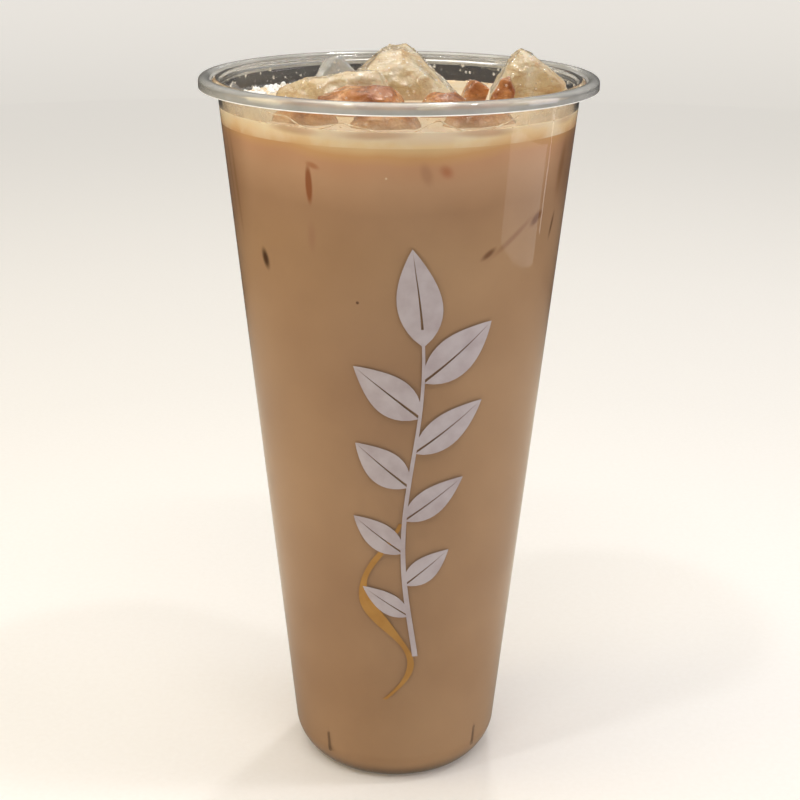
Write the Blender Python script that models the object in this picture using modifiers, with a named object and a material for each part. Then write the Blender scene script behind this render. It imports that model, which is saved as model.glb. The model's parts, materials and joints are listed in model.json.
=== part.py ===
"""A tall clear cup of iced milk tea: the cup, the tea, its pale head and the ice that stands out of it.

Run with: blender --background --python part.py
Units are metres, +Z is up, and the origin is the middle of the foot, on the table.
The printed side of the cup faces -Y.
"""

from collections import namedtuple
from math import cos, pi, radians, sin
from random import Random

import bmesh
import bpy
from mathutils import Euler, Matrix, Vector, noise

MM = 0.001

# Driving sizes of the cup
CUP_HEIGHT = 180.0 * MM
RIM_RADIUS = 47.5 * MM
WALL_THICKNESS = 0.75 * MM
WALL_TOP_Z = 175.0 * MM
WALL_TOP_RADIUS = 42.97 * MM
WALL_FOOT_RADIUS = 26.1 * MM
HEEL_HEIGHT = 8.0 * MM
HEEL_SHAPE = 1.55
FOOT_RADIUS = 21.0 * MM
FOOT_RING_WIDTH = 1.6 * MM
FLOOR_TOP_Z = 2.2 * MM
FLOOR_THICKNESS = 1.2 * MM
FLOOR_EDGE_RADIUS = 19.9 * MM
FLOOR_HEEL_RISE = 1.0 * MM
UNDERSIDE_DRAFT = 0.8 * MM
TURN_STEPS = 56
INSIDE_HEEL_STEPS = 4
OUTSIDE_HEEL_STEPS = 5
FIT_GAP = 0.3 * MM

# The rolled rim: a small inner lip, a groove, and a wide outer bead with a skirt and a hollow below
NECK_DROP = 3.2 * MM
LIP_SETBACK = 0.9 * MM
LIP_HALF_WIDTH = 0.7 * MM
LIP_RISE = 0.6 * MM
LIP_DROP = 0.6 * MM
GROOVE_SETBACK = 1.0 * MM
GROOVE_DROP = 1.0 * MM
BEAD_HALF_WIDTH = 1.5 * MM
BEAD_RISE = 1.1 * MM
SKIRT_DROP = 2.8 * MM
SKIRT_ROUND = 0.3 * MM
SKIRT_THICKNESS = 0.9 * MM
HOLLOW_DROP = 1.6 * MM
HOLLOW_WIDTH = 1.3 * MM
NECK_FLARE = 0.5 * MM

# The stacking ribs, low on the inside of the wall
RIB_COUNT = 4
RIB_FIRST_AZIMUTH = radians(-39.5)
RIB_BOTTOM_Z = 6.6 * MM
RIB_TOP_Z = 12.6 * MM
RIB_WIDTH = 0.8 * MM
RIB_STANDS_OUT = 0.45 * MM

# Levels of what the cup holds
TEA_LEVEL = 169.5 * MM
HEAD_LEVEL = 172.2 * MM

# How far a block of ice has melted towards a ball, how it is dented and where its corners broke off
ICE_MELT = 0.16
ICE_BALL_RADIUS = 1.28
ICE_DENT_PITCH = 1.1
ICE_DENT_DEPTH = 0.13
ICE_DENT_STRIDE = (3.7, 1.9, 5.3)
ICE_CHIPS = 4
ICE_CHIP_NEAREST = 1.02
ICE_CHIP_FARTHEST = 1.30

# Sizes and middles are in millimetres, turns in degrees about X, Y and Z. A block narrows
# upwards by its taper, and its cage is cut that many times along each edge. Its tint says how
# much tea the ice has taken up.
Block = namedtuple("Block", "name tint size taper middle turn cuts seed")
ICE_BLOCKS = (
    Block("ice_peak", "cream", (28, 20, 28), 0.0, (-0.2, 14.5, 168.1), (4, 49, 3), 2, 1),
    Block("ice_right", "cream", (10.6, 7.5, 15.8), -0.6, (29.9, 2.6, 175.8), (-3, 43, 6), 2, 2),
    Block("ice_slab", "cream", (29, 9, 17), 0.1, (-15.9, -2.6, 171.2), (-5, -8, 2), 2, 3),
    Block("ice_brown", "brown", (22, 11, 16), 0.05, (-8.8, -15.4, 171.2), (4, -12, -4), 2, 4),
    Block("ice_left_wing", "brown", (7.5, 7, 15), 0.2, (16.6, -5.0, 172.3), (5, 18, 12), 1, 5),
    Block("ice_right_wing", "brown", (9, 8, 16), 0.55, (23.6, -10.8, 173.2), (-6, 14, -16), 1, 6),
    Block("ice_middle", "brown", (12, 8, 12), 0.1, (10.0, -14.4, 171.7), (8, 6, 10), 1, 7),
    Block("ice_front", "brown", (18, 10, 15), 0.1, (-2.6, -33.8, 169.7), (6, 4, 3), 1, 8),
    Block("ice_front_left", "brown", (17, 10, 14), 0.1, (-20.3, -27.4, 170.1), (5, -8, -34), 1, 9),
    Block("ice_front_right", "brown", (21, 10, 14), 0.1, (18.4, -29.0, 170.0), (4, 7, 30), 1, 10),
    Block("ice_back_left", "clear", (11, 7, 11), 0.0, (-16.4, 31.4, 174.2), (-4, 44, 14), 1, 11),
    Block("ice_sliver", "clear", (3, 4.5, 13), 0.2, (36.6, 12.6, 173.8), (0, -16, 14), 1, 12),
)


def clear_scene():
    for item in list(bpy.data.objects):
        bpy.data.objects.remove(item)


def new_collection(name):
    made = bpy.data.collections.new(name)
    bpy.context.scene.collection.children.link(made)
    return made


def material(name, colour, roughness, transmission=0.0, ior=1.45):
    made = bpy.data.materials.new(name)
    made.use_nodes = True
    shader = made.node_tree.nodes["Principled BSDF"]
    shader.inputs["Base Color"].default_value = (*colour, 1.0)
    shader.inputs["Roughness"].default_value = roughness
    shader.inputs["Metallic"].default_value = 0.0
    shader.inputs["Transmission Weight"].default_value = transmission
    shader.inputs["IOR"].default_value = ior
    return made


def outer_radius(z):
    """The outside of the tapered wall at height z."""
    return WALL_FOOT_RADIUS + (WALL_TOP_RADIUS - WALL_FOOT_RADIUS) * z / WALL_TOP_Z


def inner_radius(z):
    return outer_radius(z) - WALL_THICKNESS


def heel(low, high, steps):
    """Points (r, z) of the rounded heel, from low on the foot up to high on the wall."""
    (low_r, low_z), (high_r, high_z) = low, high
    points = []
    for i in range(steps + 1):
        angle = i / steps * pi / 2
        out = sin(angle) ** (2 / HEEL_SHAPE)
        drop = cos(angle) ** (2 / HEEL_SHAPE)
        points.append((low_r + (high_r - low_r) * out, high_z + (low_z - high_z) * drop))
    return points


def arc(centre, radii, start, end, steps):
    """Points (r, z) along a quarter, half or other stretch of an ellipse, angles in degrees."""
    points = []
    for i in range(steps + 1):
        angle = radians(start + (end - start) * i / steps)
        points.append((centre[0] + radii[0] * cos(angle), centre[1] + radii[1] * sin(angle)))
    return points


def rim_profile():
    """The rolled rim from the inside of the wall, over the bead and back to the outside of the wall."""
    neck_z = CUP_HEIGHT - NECK_DROP
    lip_r = inner_radius(neck_z) + LIP_SETBACK
    lip = arc((lip_r, CUP_HEIGHT - LIP_DROP - LIP_RISE), (LIP_HALF_WIDTH, LIP_RISE), 180, 60, 3)
    groove = [(lip_r + GROOVE_SETBACK, CUP_HEIGHT - GROOVE_DROP)]
    bead_middle = (RIM_RADIUS - BEAD_HALF_WIDTH, CUP_HEIGHT - BEAD_RISE)
    bead = arc(bead_middle, (BEAD_HALF_WIDTH, BEAD_RISE), 150, 0, 6)
    skirt_z = CUP_HEIGHT - SKIRT_DROP
    skirt = [
        (RIM_RADIUS - SKIRT_ROUND / 3, skirt_z + SKIRT_ROUND),
        (RIM_RADIUS - SKIRT_THICKNESS / 2, skirt_z),
        (RIM_RADIUS - SKIRT_THICKNESS, skirt_z + SKIRT_ROUND),
    ]
    hollow_r = RIM_RADIUS - SKIRT_THICKNESS - SKIRT_ROUND
    hollow_z = CUP_HEIGHT - HOLLOW_DROP
    under = [
        (hollow_r, hollow_z),
        (hollow_r - HOLLOW_WIDTH, hollow_z),
        (outer_radius(neck_z) + NECK_FLARE, hollow_z - NECK_FLARE),
        (outer_radius(neck_z), neck_z),
    ]
    return [(inner_radius(neck_z), neck_z)] + lip + groove + bead + skirt + under


def cup_profile():
    """The whole wall, from the middle of the floor inside to the middle of the underside."""
    heel_top = HEEL_HEIGHT + FLOOR_HEEL_RISE
    floor_edge = (FLOOR_EDGE_RADIUS, FLOOR_TOP_Z)
    inside = heel(floor_edge, (inner_radius(heel_top), heel_top), INSIDE_HEEL_STEPS)
    heel_foot = (FOOT_RADIUS, 0.0)
    outside = heel(heel_foot, (outer_radius(HEEL_HEIGHT), HEEL_HEIGHT), OUTSIDE_HEEL_STEPS)
    recess_r = FOOT_RADIUS - FOOT_RING_WIDTH
    recess_z = FLOOR_TOP_Z - FLOOR_THICKNESS
    underside = [(recess_r, 0.0), (recess_r - UNDERSIDE_DRAFT, recess_z), (0.0, recess_z)]
    return [(0.0, FLOOR_TOP_Z)] + inside + rim_profile() + outside[::-1] + underside


def filling_radius(z):
    return inner_radius(z) - FIT_GAP


def tea_profile():
    """The tea from the middle of its surface, down the wall and back to the middle of its base."""
    heel_top = HEEL_HEIGHT + FLOOR_HEEL_RISE
    base_z = FLOOR_TOP_Z + FIT_GAP
    floor_edge = (FLOOR_EDGE_RADIUS - FIT_GAP, base_z)
    curve = heel(floor_edge, (filling_radius(heel_top), heel_top), INSIDE_HEEL_STEPS)
    return [(0.0, TEA_LEVEL), (filling_radius(TEA_LEVEL), TEA_LEVEL)] + curve[::-1] + [(0.0, base_z)]


def head_profile():
    low = TEA_LEVEL + FIT_GAP
    return [
        (0.0, HEAD_LEVEL),
        (filling_radius(HEAD_LEVEL), HEAD_LEVEL),
        (filling_radius(low), low),
        (0.0, low),
    ]


def turned(name, profile, finish, collection):
    """A solid of revolution about +Z. The profile runs down its outer side."""
    mesh = bpy.data.meshes.new(name)
    edges = [(i, i + 1) for i in range(len(profile) - 1)]
    mesh.from_pydata([(r, 0.0, z) for r, z in profile], edges, [])
    mesh.materials.append(finish)
    made = bpy.data.objects.new(name, mesh)
    collection.objects.link(made)
    screw = made.modifiers.new("turn", "SCREW")
    screw.axis = "Z"
    screw.steps = TURN_STEPS
    screw.render_steps = TURN_STEPS
    screw.use_merge_vertices = True
    screw.merge_threshold = 0.01 * MM
    screw.use_smooth_shade = True
    return made


def applied(made):
    """The object with its modifiers turned into plain mesh."""
    view = bpy.context.evaluated_depsgraph_get()
    mesh = bpy.data.meshes.new_from_object(made.evaluated_get(view))
    made.modifiers.clear()
    made.data = mesh
    return made


def rib(name, azimuth, finish, collection, growth=0.0):
    """One upright stacking rib, leaning with the wall. Growth makes the cutter for its groove."""
    bpy.ops.mesh.primitive_cube_add(size=1.0)
    made = bpy.context.object
    made.name = name
    depth = 2 * RIB_STANDS_OUT + 2 * growth
    height = RIB_TOP_Z - RIB_BOTTOM_Z + 2 * growth
    made.data.transform(Matrix.Diagonal((RIB_WIDTH + 2 * growth, depth, height, 1.0)))
    made.data.materials.append(finish)
    middle_z = (RIB_TOP_Z + RIB_BOTTOM_Z) / 2
    out = inner_radius(middle_z)
    made.location = (out * sin(azimuth), -out * cos(azimuth), middle_z)
    lean = (WALL_TOP_RADIUS - WALL_FOOT_RADIUS) / WALL_TOP_Z
    made.rotation_euler = Euler((lean, 0.0, azimuth))
    for owner in made.users_collection:
        owner.objects.unlink(made)
    collection.objects.link(made)
    return made


def rib_azimuths():
    return [RIB_FIRST_AZIMUTH + i * 2 * pi / RIB_COUNT for i in range(RIB_COUNT)]


def join_all(made, pieces):
    """Fuses a collection of pieces to an object by one Boolean union, then removes them."""
    union = made.modifiers.new("fuse", "BOOLEAN")
    union.operation = "UNION"
    union.operand_type = "COLLECTION"
    union.collection = pieces
    union.solver = "EXACT"
    bpy.context.view_layer.update()
    applied(made)
    for item in list(pieces.objects):
        bpy.data.objects.remove(item)
    bpy.data.collections.remove(pieces)


def chip_planes(seed):
    """The planes along which corners broke off one block, each a direction and a distance."""
    draw = Random(seed)
    planes = []
    for _ in range(ICE_CHIPS):
        signs = [draw.choice((-1, 1)) * draw.uniform(0.35, 1.0) for _ in range(3)]
        planes.append((Vector(signs).normalized(), draw.uniform(ICE_CHIP_NEAREST, ICE_CHIP_FARTHEST)))
    return planes


def chipped(point, planes):
    """The point moved back onto each of the flat faces where corners broke off the block."""
    for way, reach in planes:
        beyond = point.dot(way) - reach
        if beyond > 0.0:
            point = point - way * beyond
    return point


def ice_block(block, finish, collection):
    """A block of ice that has begun to melt: soft corners, broken faces, and dents by a fixed noise."""
    cage = bmesh.new()
    bmesh.ops.create_cube(cage, size=2.0)
    bmesh.ops.subdivide_edges(cage, edges=cage.edges[:], cuts=block.cuts, use_grid_fill=True)
    half = Vector(block.size) * MM / 2
    planes = chip_planes(block.seed)
    noise_start = Vector(ICE_DENT_STRIDE) * block.seed
    for vert in cage.verts:
        way = vert.co.normalized()
        narrow = 1.0 - block.taper * (vert.co.z + 1.0) / 2
        soft = chipped(vert.co.lerp(way * ICE_BALL_RADIUS, ICE_MELT), planes)
        soft *= 1.0 + noise.noise(way * ICE_DENT_PITCH + noise_start) * ICE_DENT_DEPTH
        vert.co = (soft.x * half.x * narrow, soft.y * half.y * narrow, soft.z * half.z)
    mesh = bpy.data.meshes.new(block.name)
    cage.to_mesh(mesh)
    cage.free()
    mesh.materials.append(finish)
    made = bpy.data.objects.new(block.name, mesh)
    collection.objects.link(made)
    made.location = Vector(block.middle) * MM
    made.rotation_euler = Euler([radians(angle) for angle in block.turn])
    smooth = made.modifiers.new("melt", "SUBSURF")
    smooth.levels = 1
    smooth.render_levels = 1
    return made


def grown_copy(block, collection):
    """The cutter for one block's pocket: the same block, a fit gap larger all round."""
    made = block.copy()
    made.name = block.name + "_pocket"
    swell = made.modifiers.new("gap", "DISPLACE")
    swell.strength = FIT_GAP
    swell.mid_level = 0.0
    collection.objects.link(made)
    return made


def cut_by(made, cutters):
    cut = made.modifiers.new("pockets", "BOOLEAN")
    cut.operation = "DIFFERENCE"
    cut.operand_type = "COLLECTION"
    cut.collection = cutters
    cut.solver = "EXACT"


def main():
    clear_scene()
    drink = new_collection("iced_milk_tea")
    cutters = new_collection("cutters")
    clear_plastic = material("clear_polypropylene", (0.92, 0.93, 0.93), 0.08, 0.9, 1.49)
    tea = material("milk_tea", (0.34, 0.21, 0.13), 0.35)
    head = material("milk_tea_head", (0.70, 0.52, 0.34), 0.45)
    ice = {
        "clear": material("clear_ice", (0.80, 0.82, 0.80), 0.1, 0.6, 1.31),
        "cream": material("cream_ice", (0.60, 0.48, 0.32), 0.15, 0.3, 1.31),
        "brown": material("brown_ice", (0.46, 0.27, 0.15), 0.15, 0.3, 1.31),
    }

    cup = applied(turned("cup", cup_profile(), clear_plastic, drink))
    ribs = new_collection("ribs")
    for i, azimuth in enumerate(rib_azimuths()):
        rib(f"rib_{i}", azimuth, clear_plastic, ribs)
        rib(f"rib_groove_{i}", azimuth, clear_plastic, cutters, FIT_GAP)
    join_all(cup, ribs)

    for block in ICE_BLOCKS:
        grown_copy(ice_block(block, ice[block.tint], drink), cutters)

    cut_by(turned("milk_tea", tea_profile(), tea, drink), cutters)
    cut_by(turned("milk_tea_head", head_profile(), head, drink), cutters)
    for cutter in cutters.objects:
        cutter.hide_render = True
        cutter.display_type = "WIRE"


main()
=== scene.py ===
# %% [markdown]
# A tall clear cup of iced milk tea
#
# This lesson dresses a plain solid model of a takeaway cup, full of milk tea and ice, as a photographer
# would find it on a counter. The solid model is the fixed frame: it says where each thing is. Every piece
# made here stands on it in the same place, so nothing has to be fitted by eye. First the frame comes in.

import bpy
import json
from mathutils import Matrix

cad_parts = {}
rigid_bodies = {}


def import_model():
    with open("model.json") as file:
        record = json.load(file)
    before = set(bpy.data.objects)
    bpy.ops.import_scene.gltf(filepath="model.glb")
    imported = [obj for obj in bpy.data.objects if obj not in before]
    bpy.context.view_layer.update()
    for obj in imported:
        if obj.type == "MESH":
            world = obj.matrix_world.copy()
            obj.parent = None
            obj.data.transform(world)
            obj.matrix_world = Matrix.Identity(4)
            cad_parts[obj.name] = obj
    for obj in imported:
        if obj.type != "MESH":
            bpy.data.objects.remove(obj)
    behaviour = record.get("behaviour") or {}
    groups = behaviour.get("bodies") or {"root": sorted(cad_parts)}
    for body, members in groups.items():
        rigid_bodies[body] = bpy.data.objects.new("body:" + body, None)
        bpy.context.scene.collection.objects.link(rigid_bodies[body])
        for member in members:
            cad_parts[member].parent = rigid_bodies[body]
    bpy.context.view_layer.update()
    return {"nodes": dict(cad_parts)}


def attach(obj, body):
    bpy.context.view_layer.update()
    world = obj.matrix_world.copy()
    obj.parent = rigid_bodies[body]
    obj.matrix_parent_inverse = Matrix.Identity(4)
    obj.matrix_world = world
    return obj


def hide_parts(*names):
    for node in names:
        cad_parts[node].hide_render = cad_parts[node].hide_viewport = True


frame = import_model()
print("solids in the frame:", len(frame["nodes"]))

# %% [markdown]
# Tools of the lesson
#
# Blender works in metres and in linear colour. A maker thinks in millimetres and picks colours from a
# screen, which are sRGB. So one number turns millimetres to metres, and one function turns a hex colour to
# linear light.

# %% Units and colours
import json
from collections import namedtuple
from functools import partial
from math import cos, pi, radians, sin

import bmesh
import bpy
from mathutils import Matrix, Vector

MM = 0.001


def linear(hex_colour):
    """An sRGB hex colour as linear red, green, blue and alpha."""
    channels = [int(hex_colour[i:i + 2], 16) / 255 for i in (1, 3, 5)]
    return (*[c / 12.92 if c <= 0.04045 else ((c + 0.055) / 1.055) ** 2.4 for c in channels], 1.0)


print("paper white is", [round(c, 3) for c in linear("#F4F2EE")])

# %% [markdown]
# Nodes by script
#
# Shader nodes and Geometry Nodes are added in the same way: make the node, set its own properties, and give
# each input either a value or a socket to link from. One small function does that for every kind of node.
# Blender puts a family in front of each kind, such as ShaderNodeMath, and the function finds it. A colour
# ramp keeps its colours in stops, so those are handed over as a list of places and colours.


# %% One function that adds a node
FAMILIES = ("ShaderNode", "GeometryNode", "FunctionNode", "Node")


def feed(node, inputs):
    """Gives inputs of a node their values, or links them to a socket or to another node's first output."""
    for key, value in dict(inputs).items():
        if isinstance(value, bpy.types.Node):
            value = next(socket for socket in value.outputs if socket.enabled)
        if isinstance(value, bpy.types.NodeSocket):
            node.id_data.links.new(value, node.inputs[key])
        else:
            node.inputs[key].default_value = value


def add_node(tree, kind, inputs=(), **settings):
    """Adds a node. A word after its kind is its mode. Its inputs are in order, or go by name or number."""
    kind, _, mode = kind.partition(" ")
    made = tree.nodes.new(next(family + kind for family in FAMILIES if hasattr(bpy.types, family + kind)))
    stops = settings.pop("stops", None)
    if mode:
        settings["operation" if hasattr(made, "operation") else "interpolation_type"] = mode
    for key, value in settings.items():
        setattr(made, key, value)
    feed(made, enumerate(inputs) if isinstance(inputs, tuple) else inputs)
    if stops:
        elements = made.color_ramp.elements
        while len(elements) < len(stops):
            elements.new(0.5)
        for element, (place, colour) in zip(elements, stops):
            element.position = place
            element.color = linear(colour)
    return made


# %% [markdown]
# Materials
#
# Every finish starts from Blender's Principled shader. What is the same all over a surface, such as how
# much it bends light, is set on the shader's own socket. What varies, such as the colour of milk tea by
# height, comes from nodes that read the object's own coordinates, so a pattern stays on the thing when the
# camera moves. Every material therefore starts with those coordinates, and with the adder above bound to
# its own tree.


# %% Start a material
def new_material(name, **sockets):
    """A material, its shader with sockets set by name, its adder and the object's coordinates."""
    made = bpy.data.materials.new(name)
    made.use_nodes = True
    shader = made.node_tree.nodes["Principled BSDF"]
    feed(shader, {key.replace("_", " "): value for key, value in sockets.items()})
    add = partial(add_node, made.node_tree)
    return made, shader, add, add("TexCoord").outputs["Object"]


def drifting_finish(name, thin, thick, pattern, **sockets):
    """A finish whose colour drifts between two tones: the pattern's size in mm, its detail and its ramp."""
    made, shader, add, where = new_material(name, **sockets)
    size, detail, low, high = pattern
    drift = add("TexNoise", {"Vector": where, "Scale": 1 / (size * MM), "Detail": detail})
    feed(shader, {"Base Color": add("ValToRGB", (drift,), stops=[(low, thin), (high, thick)])})
    return made


def glow(name):
    """A material that only gives off light, with its adder and the object's coordinates."""
    made = bpy.data.materials.new(name)
    made.use_nodes = True
    made.node_tree.nodes.clear()
    add = partial(add_node, made.node_tree)
    return made, add, add("TexCoord").outputs["Object"]


def end_glow(add, share, stops):
    light = add("Emission", {"Color": add("ValToRGB", (share,), stops=stops)})
    add("OutputMaterial", {"Surface": light})


# %% [markdown]
# Geometry Nodes by script
#
# A Geometry Nodes tree is a recipe. Its inputs are the sizes that a maker would want to change. The recipe
# is run on a starting mesh, and the result is then kept as plain mesh, because an exporter reads meshes and
# not recipes. A modifier knows its inputs by an identifier and not by the name on the socket, so the names
# are looked up before the values are set.

# %% Start a recipe and run one
SOCKET_OF = {int: "Int", float: "Float", str: "Material", set: "Collection"}


def new_recipe(name, sizes):
    """A tree, its named inputs and its adder. A string stands for a material and a set for a collection."""
    tree = bpy.data.node_groups.new(name, "GeometryNodeTree")
    for way in ("OUTPUT", "INPUT"):
        tree.interface.new_socket("Geometry", in_out=way, socket_type="NodeSocketGeometry")
    for label, value in sizes.items():
        kind = "NodeSocket" + SOCKET_OF[type(value)]
        socket = tree.interface.new_socket(label, in_out="INPUT", socket_type=kind)
        if isinstance(value, (int, float)):
            socket.default_value = value
    return tree, tree.nodes.new("NodeGroupInput").outputs, partial(add_node, tree)


def serve(add, geometry, material):
    """Ends a recipe: instances become real, the material is set, and the result goes out."""
    real = add("RealizeInstances", {"Geometry": geometry})
    dressed = add("SetMaterial", {"Geometry": real, "Material": material})
    add("GroupOutput", {"Geometry": dressed})


def keep_used_slots(mesh):
    """Drops the empty material slot that a recipe leaves in front. A piece fresh from its recipe has one."""
    finishes = [finish for finish in mesh.materials if finish]
    mesh.materials.clear()
    for finish in finishes:
        mesh.materials.append(finish)
    mesh.polygons.foreach_set("material_index", [0] * len(mesh.polygons))


def applied(made):
    """The object's mesh with its modifiers applied."""
    bpy.context.view_layer.update()
    return bpy.data.meshes.new_from_object(made.evaluated_get(bpy.context.evaluated_depsgraph_get()))


def cook(name, mesh, recipe, **values):
    """A new object: the mesh with a recipe run on it, as plain mesh. Underscores stand for spaces."""
    made = bpy.data.objects.new(name, mesh)
    bpy.context.scene.collection.objects.link(made)
    step = made.modifiers.new(recipe.name, "NODES")
    step.node_group = recipe
    for socket in recipe.interface.items_tree:
        key = socket.name.replace(" ", "_")
        if socket.in_out == "INPUT" and key in values:
            step[socket.identifier] = values[key]
    plain = applied(made)
    made.modifiers.clear()
    made.data = plain
    plain.name = name
    keep_used_slots(plain)
    print(f"{name}: {len(plain.vertices)} points, {len(plain.polygons)} faces")
    return made


def new_mesh(name, points, edges=(), faces=()):
    mesh = bpy.data.meshes.new(name)
    mesh.from_pydata(points, edges, faces)
    return mesh


def line_mesh(name, points):
    """A bare line of points, as something for a recipe to start from."""
    return new_mesh(name, points, [(i, i + 1) for i in range(len(points) - 1)])


# %% [markdown]
# The camera
#
# The photograph looks down on the cup by about 20 degrees from a short distance, so the wall narrows
# strongly towards the foot. The camera was worked out from the cup's own rim and foot: how far, how high,
# how tilted. The focal length was found in pixels of an 800 pixel wide picture, and Blender wants it in
# millimetres.

# %% Place the camera
PICTURE_WIDTH = 800
FOCAL_LENGTH_PIXELS = 1503.2
SENSOR_WIDTH_MM = 36.0
CAMERA_PLACE = Vector((0.82, -362.7, 227.16)) * MM
CAMERA_PITCH = 0.3432
CAMERA_ROLL = 0.0075

camera_data = bpy.data.cameras.new("camera")
camera_data.sensor_width = SENSOR_WIDTH_MM
camera_data.lens = FOCAL_LENGTH_PIXELS * SENSOR_WIDTH_MM / PICTURE_WIDTH
camera_data.clip_start = 10 * MM
camera = bpy.data.objects.new("camera", camera_data)
camera.location = CAMERA_PLACE
camera_turn = Matrix.Rotation(pi / 2 - CAMERA_PITCH, 3, "X") @ Matrix.Rotation(CAMERA_ROLL, 3, "Z")
camera.rotation_euler = camera_turn.to_euler()
bpy.context.scene.collection.objects.link(camera)
bpy.context.scene.camera = camera
bpy.context.scene.view_settings.view_transform = "Standard"
print("lens in millimetres:", round(camera_data.lens, 2))

# %% [markdown]
# A lathe made of nodes
#
# A cup, and the drink in it, are shapes turned about an upright axis: every height has one radius. That is
# a rule, so one recipe makes them all. It lays out a grid, with one column for each step round the axis and
# one row for each point of the profile, and moves each grid point to its place. Points that fall together,
# at the seam and on the axis, are then merged, so that the skin is closed.

# %% The lathe recipe
SEAM_MERGE = 0.002 * MM
CREASE_ANGLE = radians(50)

lathe, lathe_in, add = new_recipe("lathe", {"Steps": 256, "Material": "any"})
rows = add("AttributeDomainSize", {"Geometry": lathe_in["Geometry"]}).outputs["Point Count"]
columns = add("Math ADD", (lathe_in["Steps"], 1.0))
sheet = add("MeshGrid", {"Vertices X": columns, "Vertices Y": rows})
index = add("InputIndex")
row = add("Math FLOORED_MODULO", (index, rows))
middle_of_step = add("Math ADD", (index, 0.5))
share = add("Math DIVIDE", (middle_of_step, rows))
column = add("Math FLOOR", (share,))
turn = add("Math DIVIDE", (column, lathe_in["Steps"]))
angle = add("Math MULTIPLY", (turn, 2 * pi))
place = add("InputPosition")
profile_point = {"Geometry": lathe_in["Geometry"], "Value": place, "Index": row}
sample = add("SampleIndex", profile_point, data_type="FLOAT_VECTOR")
turned = add("VectorRotate", {"Vector": sample, "Angle": angle}, rotation_type="Z_AXIS")
moved = add("SetPosition", {"Geometry": sheet, "Position": turned})
closed = add("MergeByDistance", {"Geometry": moved, "Distance": SEAM_MERGE})
crease = add("Compare GREATER_THAN", (add("InputMeshEdgeAngle"), CREASE_ANGLE))
smooth = add("SetShadeSmooth", {0: closed, "Shade Smooth": True})
creased = add("SetShadeSmooth", {0: smooth, "Selection": crease, "Shade Smooth": False}, domain="EDGE")
serve(add, creased, lathe_in["Material"])
print("the lathe has", len(lathe.nodes), "nodes")


# %% Turn a profile, and check which way its skin faces
def turn_piece(name, profile, steps, finish):
    """A piece from the lathe: the profile is a list of points (r, z)."""
    line = line_mesh(name + "_line", [(r, 0.0, z) for r, z in profile])
    return cook(name, line, lathe, Steps=steps, Material=finish)


def face_outward(made):
    """Turns the whole mesh round if its faces point inward, which the sign of its volume tells."""
    form = bmesh.new()
    form.from_mesh(made.data)
    if form.calc_volume(signed=True) < 0:
        bmesh.ops.reverse_faces(form, faces=form.faces)
        form.to_mesh(made.data)
    print(f"{made.name}: encloses {abs(form.calc_volume()) * 1e6:.1f} cubic centimetres")
    form.free()
    return made


# %% [markdown]
# The floor and the studio
#
# The floor is a plain pale sheet of paper that curves up far behind, as in a photographer's studio, so no
# horizon shows from any side. It is matt, with a faint tooth. The same lathe turns it, because a round
# sweep looks alike from every side. The paper glows a little more the further off it is, as if it had lamps
# of its own. Neither is part of the object.

# %% Pale paper for the floor
FLOOR_RADIUS = 1.2
SWEEP_RADIUS = 0.9
SWEEP_HEIGHT = 2.4
SWEEP_STEPS = 12
STAGE_STEPS = 96
PAPER_TOOTH_MM = 1.5
NEAR_PAPER = 0.30
FAR_PAPER = 2.2
FAR_LIFT = 0.62

paper, paper_shader, add, where = new_material("pale_paper", Roughness=0.9, Specular_IOR_Level=0.1)
tooth = add("TexNoise", {"Vector": where, "Scale": 1 / (PAPER_TOOTH_MM * MM)})
tone = add("ValToRGB", (tooth,), stops=[(0.0, "#F2EFEA"), (1.0, "#F7F5F1")])
paper_away = add("VectorMath LENGTH", (where,))
paper_lift = add("MapRange", (paper_away, NEAR_PAPER, FAR_PAPER, 0.0, FAR_LIFT))
feed(paper_shader, {"Base Color": tone, "Emission Color": tone, "Emission Strength": paper_lift})
floor = turn_piece("floor", [(0, 0), (FLOOR_RADIUS, 0)], STAGE_STEPS, paper)
sweep = [i / SWEEP_STEPS * pi / 2 for i in range(SWEEP_STEPS + 1)]
sweep_profile = [(FLOOR_RADIUS + SWEEP_RADIUS * sin(a), SWEEP_RADIUS * (1 - cos(a))) for a in sweep]
sweep_profile.append((FLOOR_RADIUS + SWEEP_RADIUS, SWEEP_HEIGHT))
backdrop = turn_piece("backdrop", sweep_profile, STAGE_STEPS, paper)

# %% [markdown]
# What the clear plastic sees
#
# Clear plastic has no look of its own: it shows what is behind and around it. In the photograph the room
# was dim round a lit counter, so the rim and the empty part of the wall read grey with white lines. On
# bright paper they would vanish. So rays that pass through or bounce off the plastic see a grey room in
# place of the paper: a dome that is darker at eye level and lighter overhead, and a pale counter close
# round the foot.

# %% The grey room
DOME_RADIUS = 3.0
DOME_RINGS = 24
DOME_LIFT = 100 * MM
ROOM_TONES = [
    (0.0, "#6E6862"), (0.30, "#5C5752"), (0.42, "#4E4B49"),
    (0.55, "#4A4846"), (0.72, "#7E7C79"), (1.0, "#B8B7B4"),
]


def only_seen_by(made, *rays):
    """Hides an object from every kind of ray but those named."""
    for ray in ("camera", "diffuse", "glossy", "transmission", "volume_scatter", "shadow"):
        setattr(made, "visible_" + ray, ray in rays)


for paper_piece in (floor, backdrop):
    paper_piece.visible_glossy = False
    paper_piece.visible_transmission = False
backdrop.visible_diffuse = False
backdrop.visible_shadow = False

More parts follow.
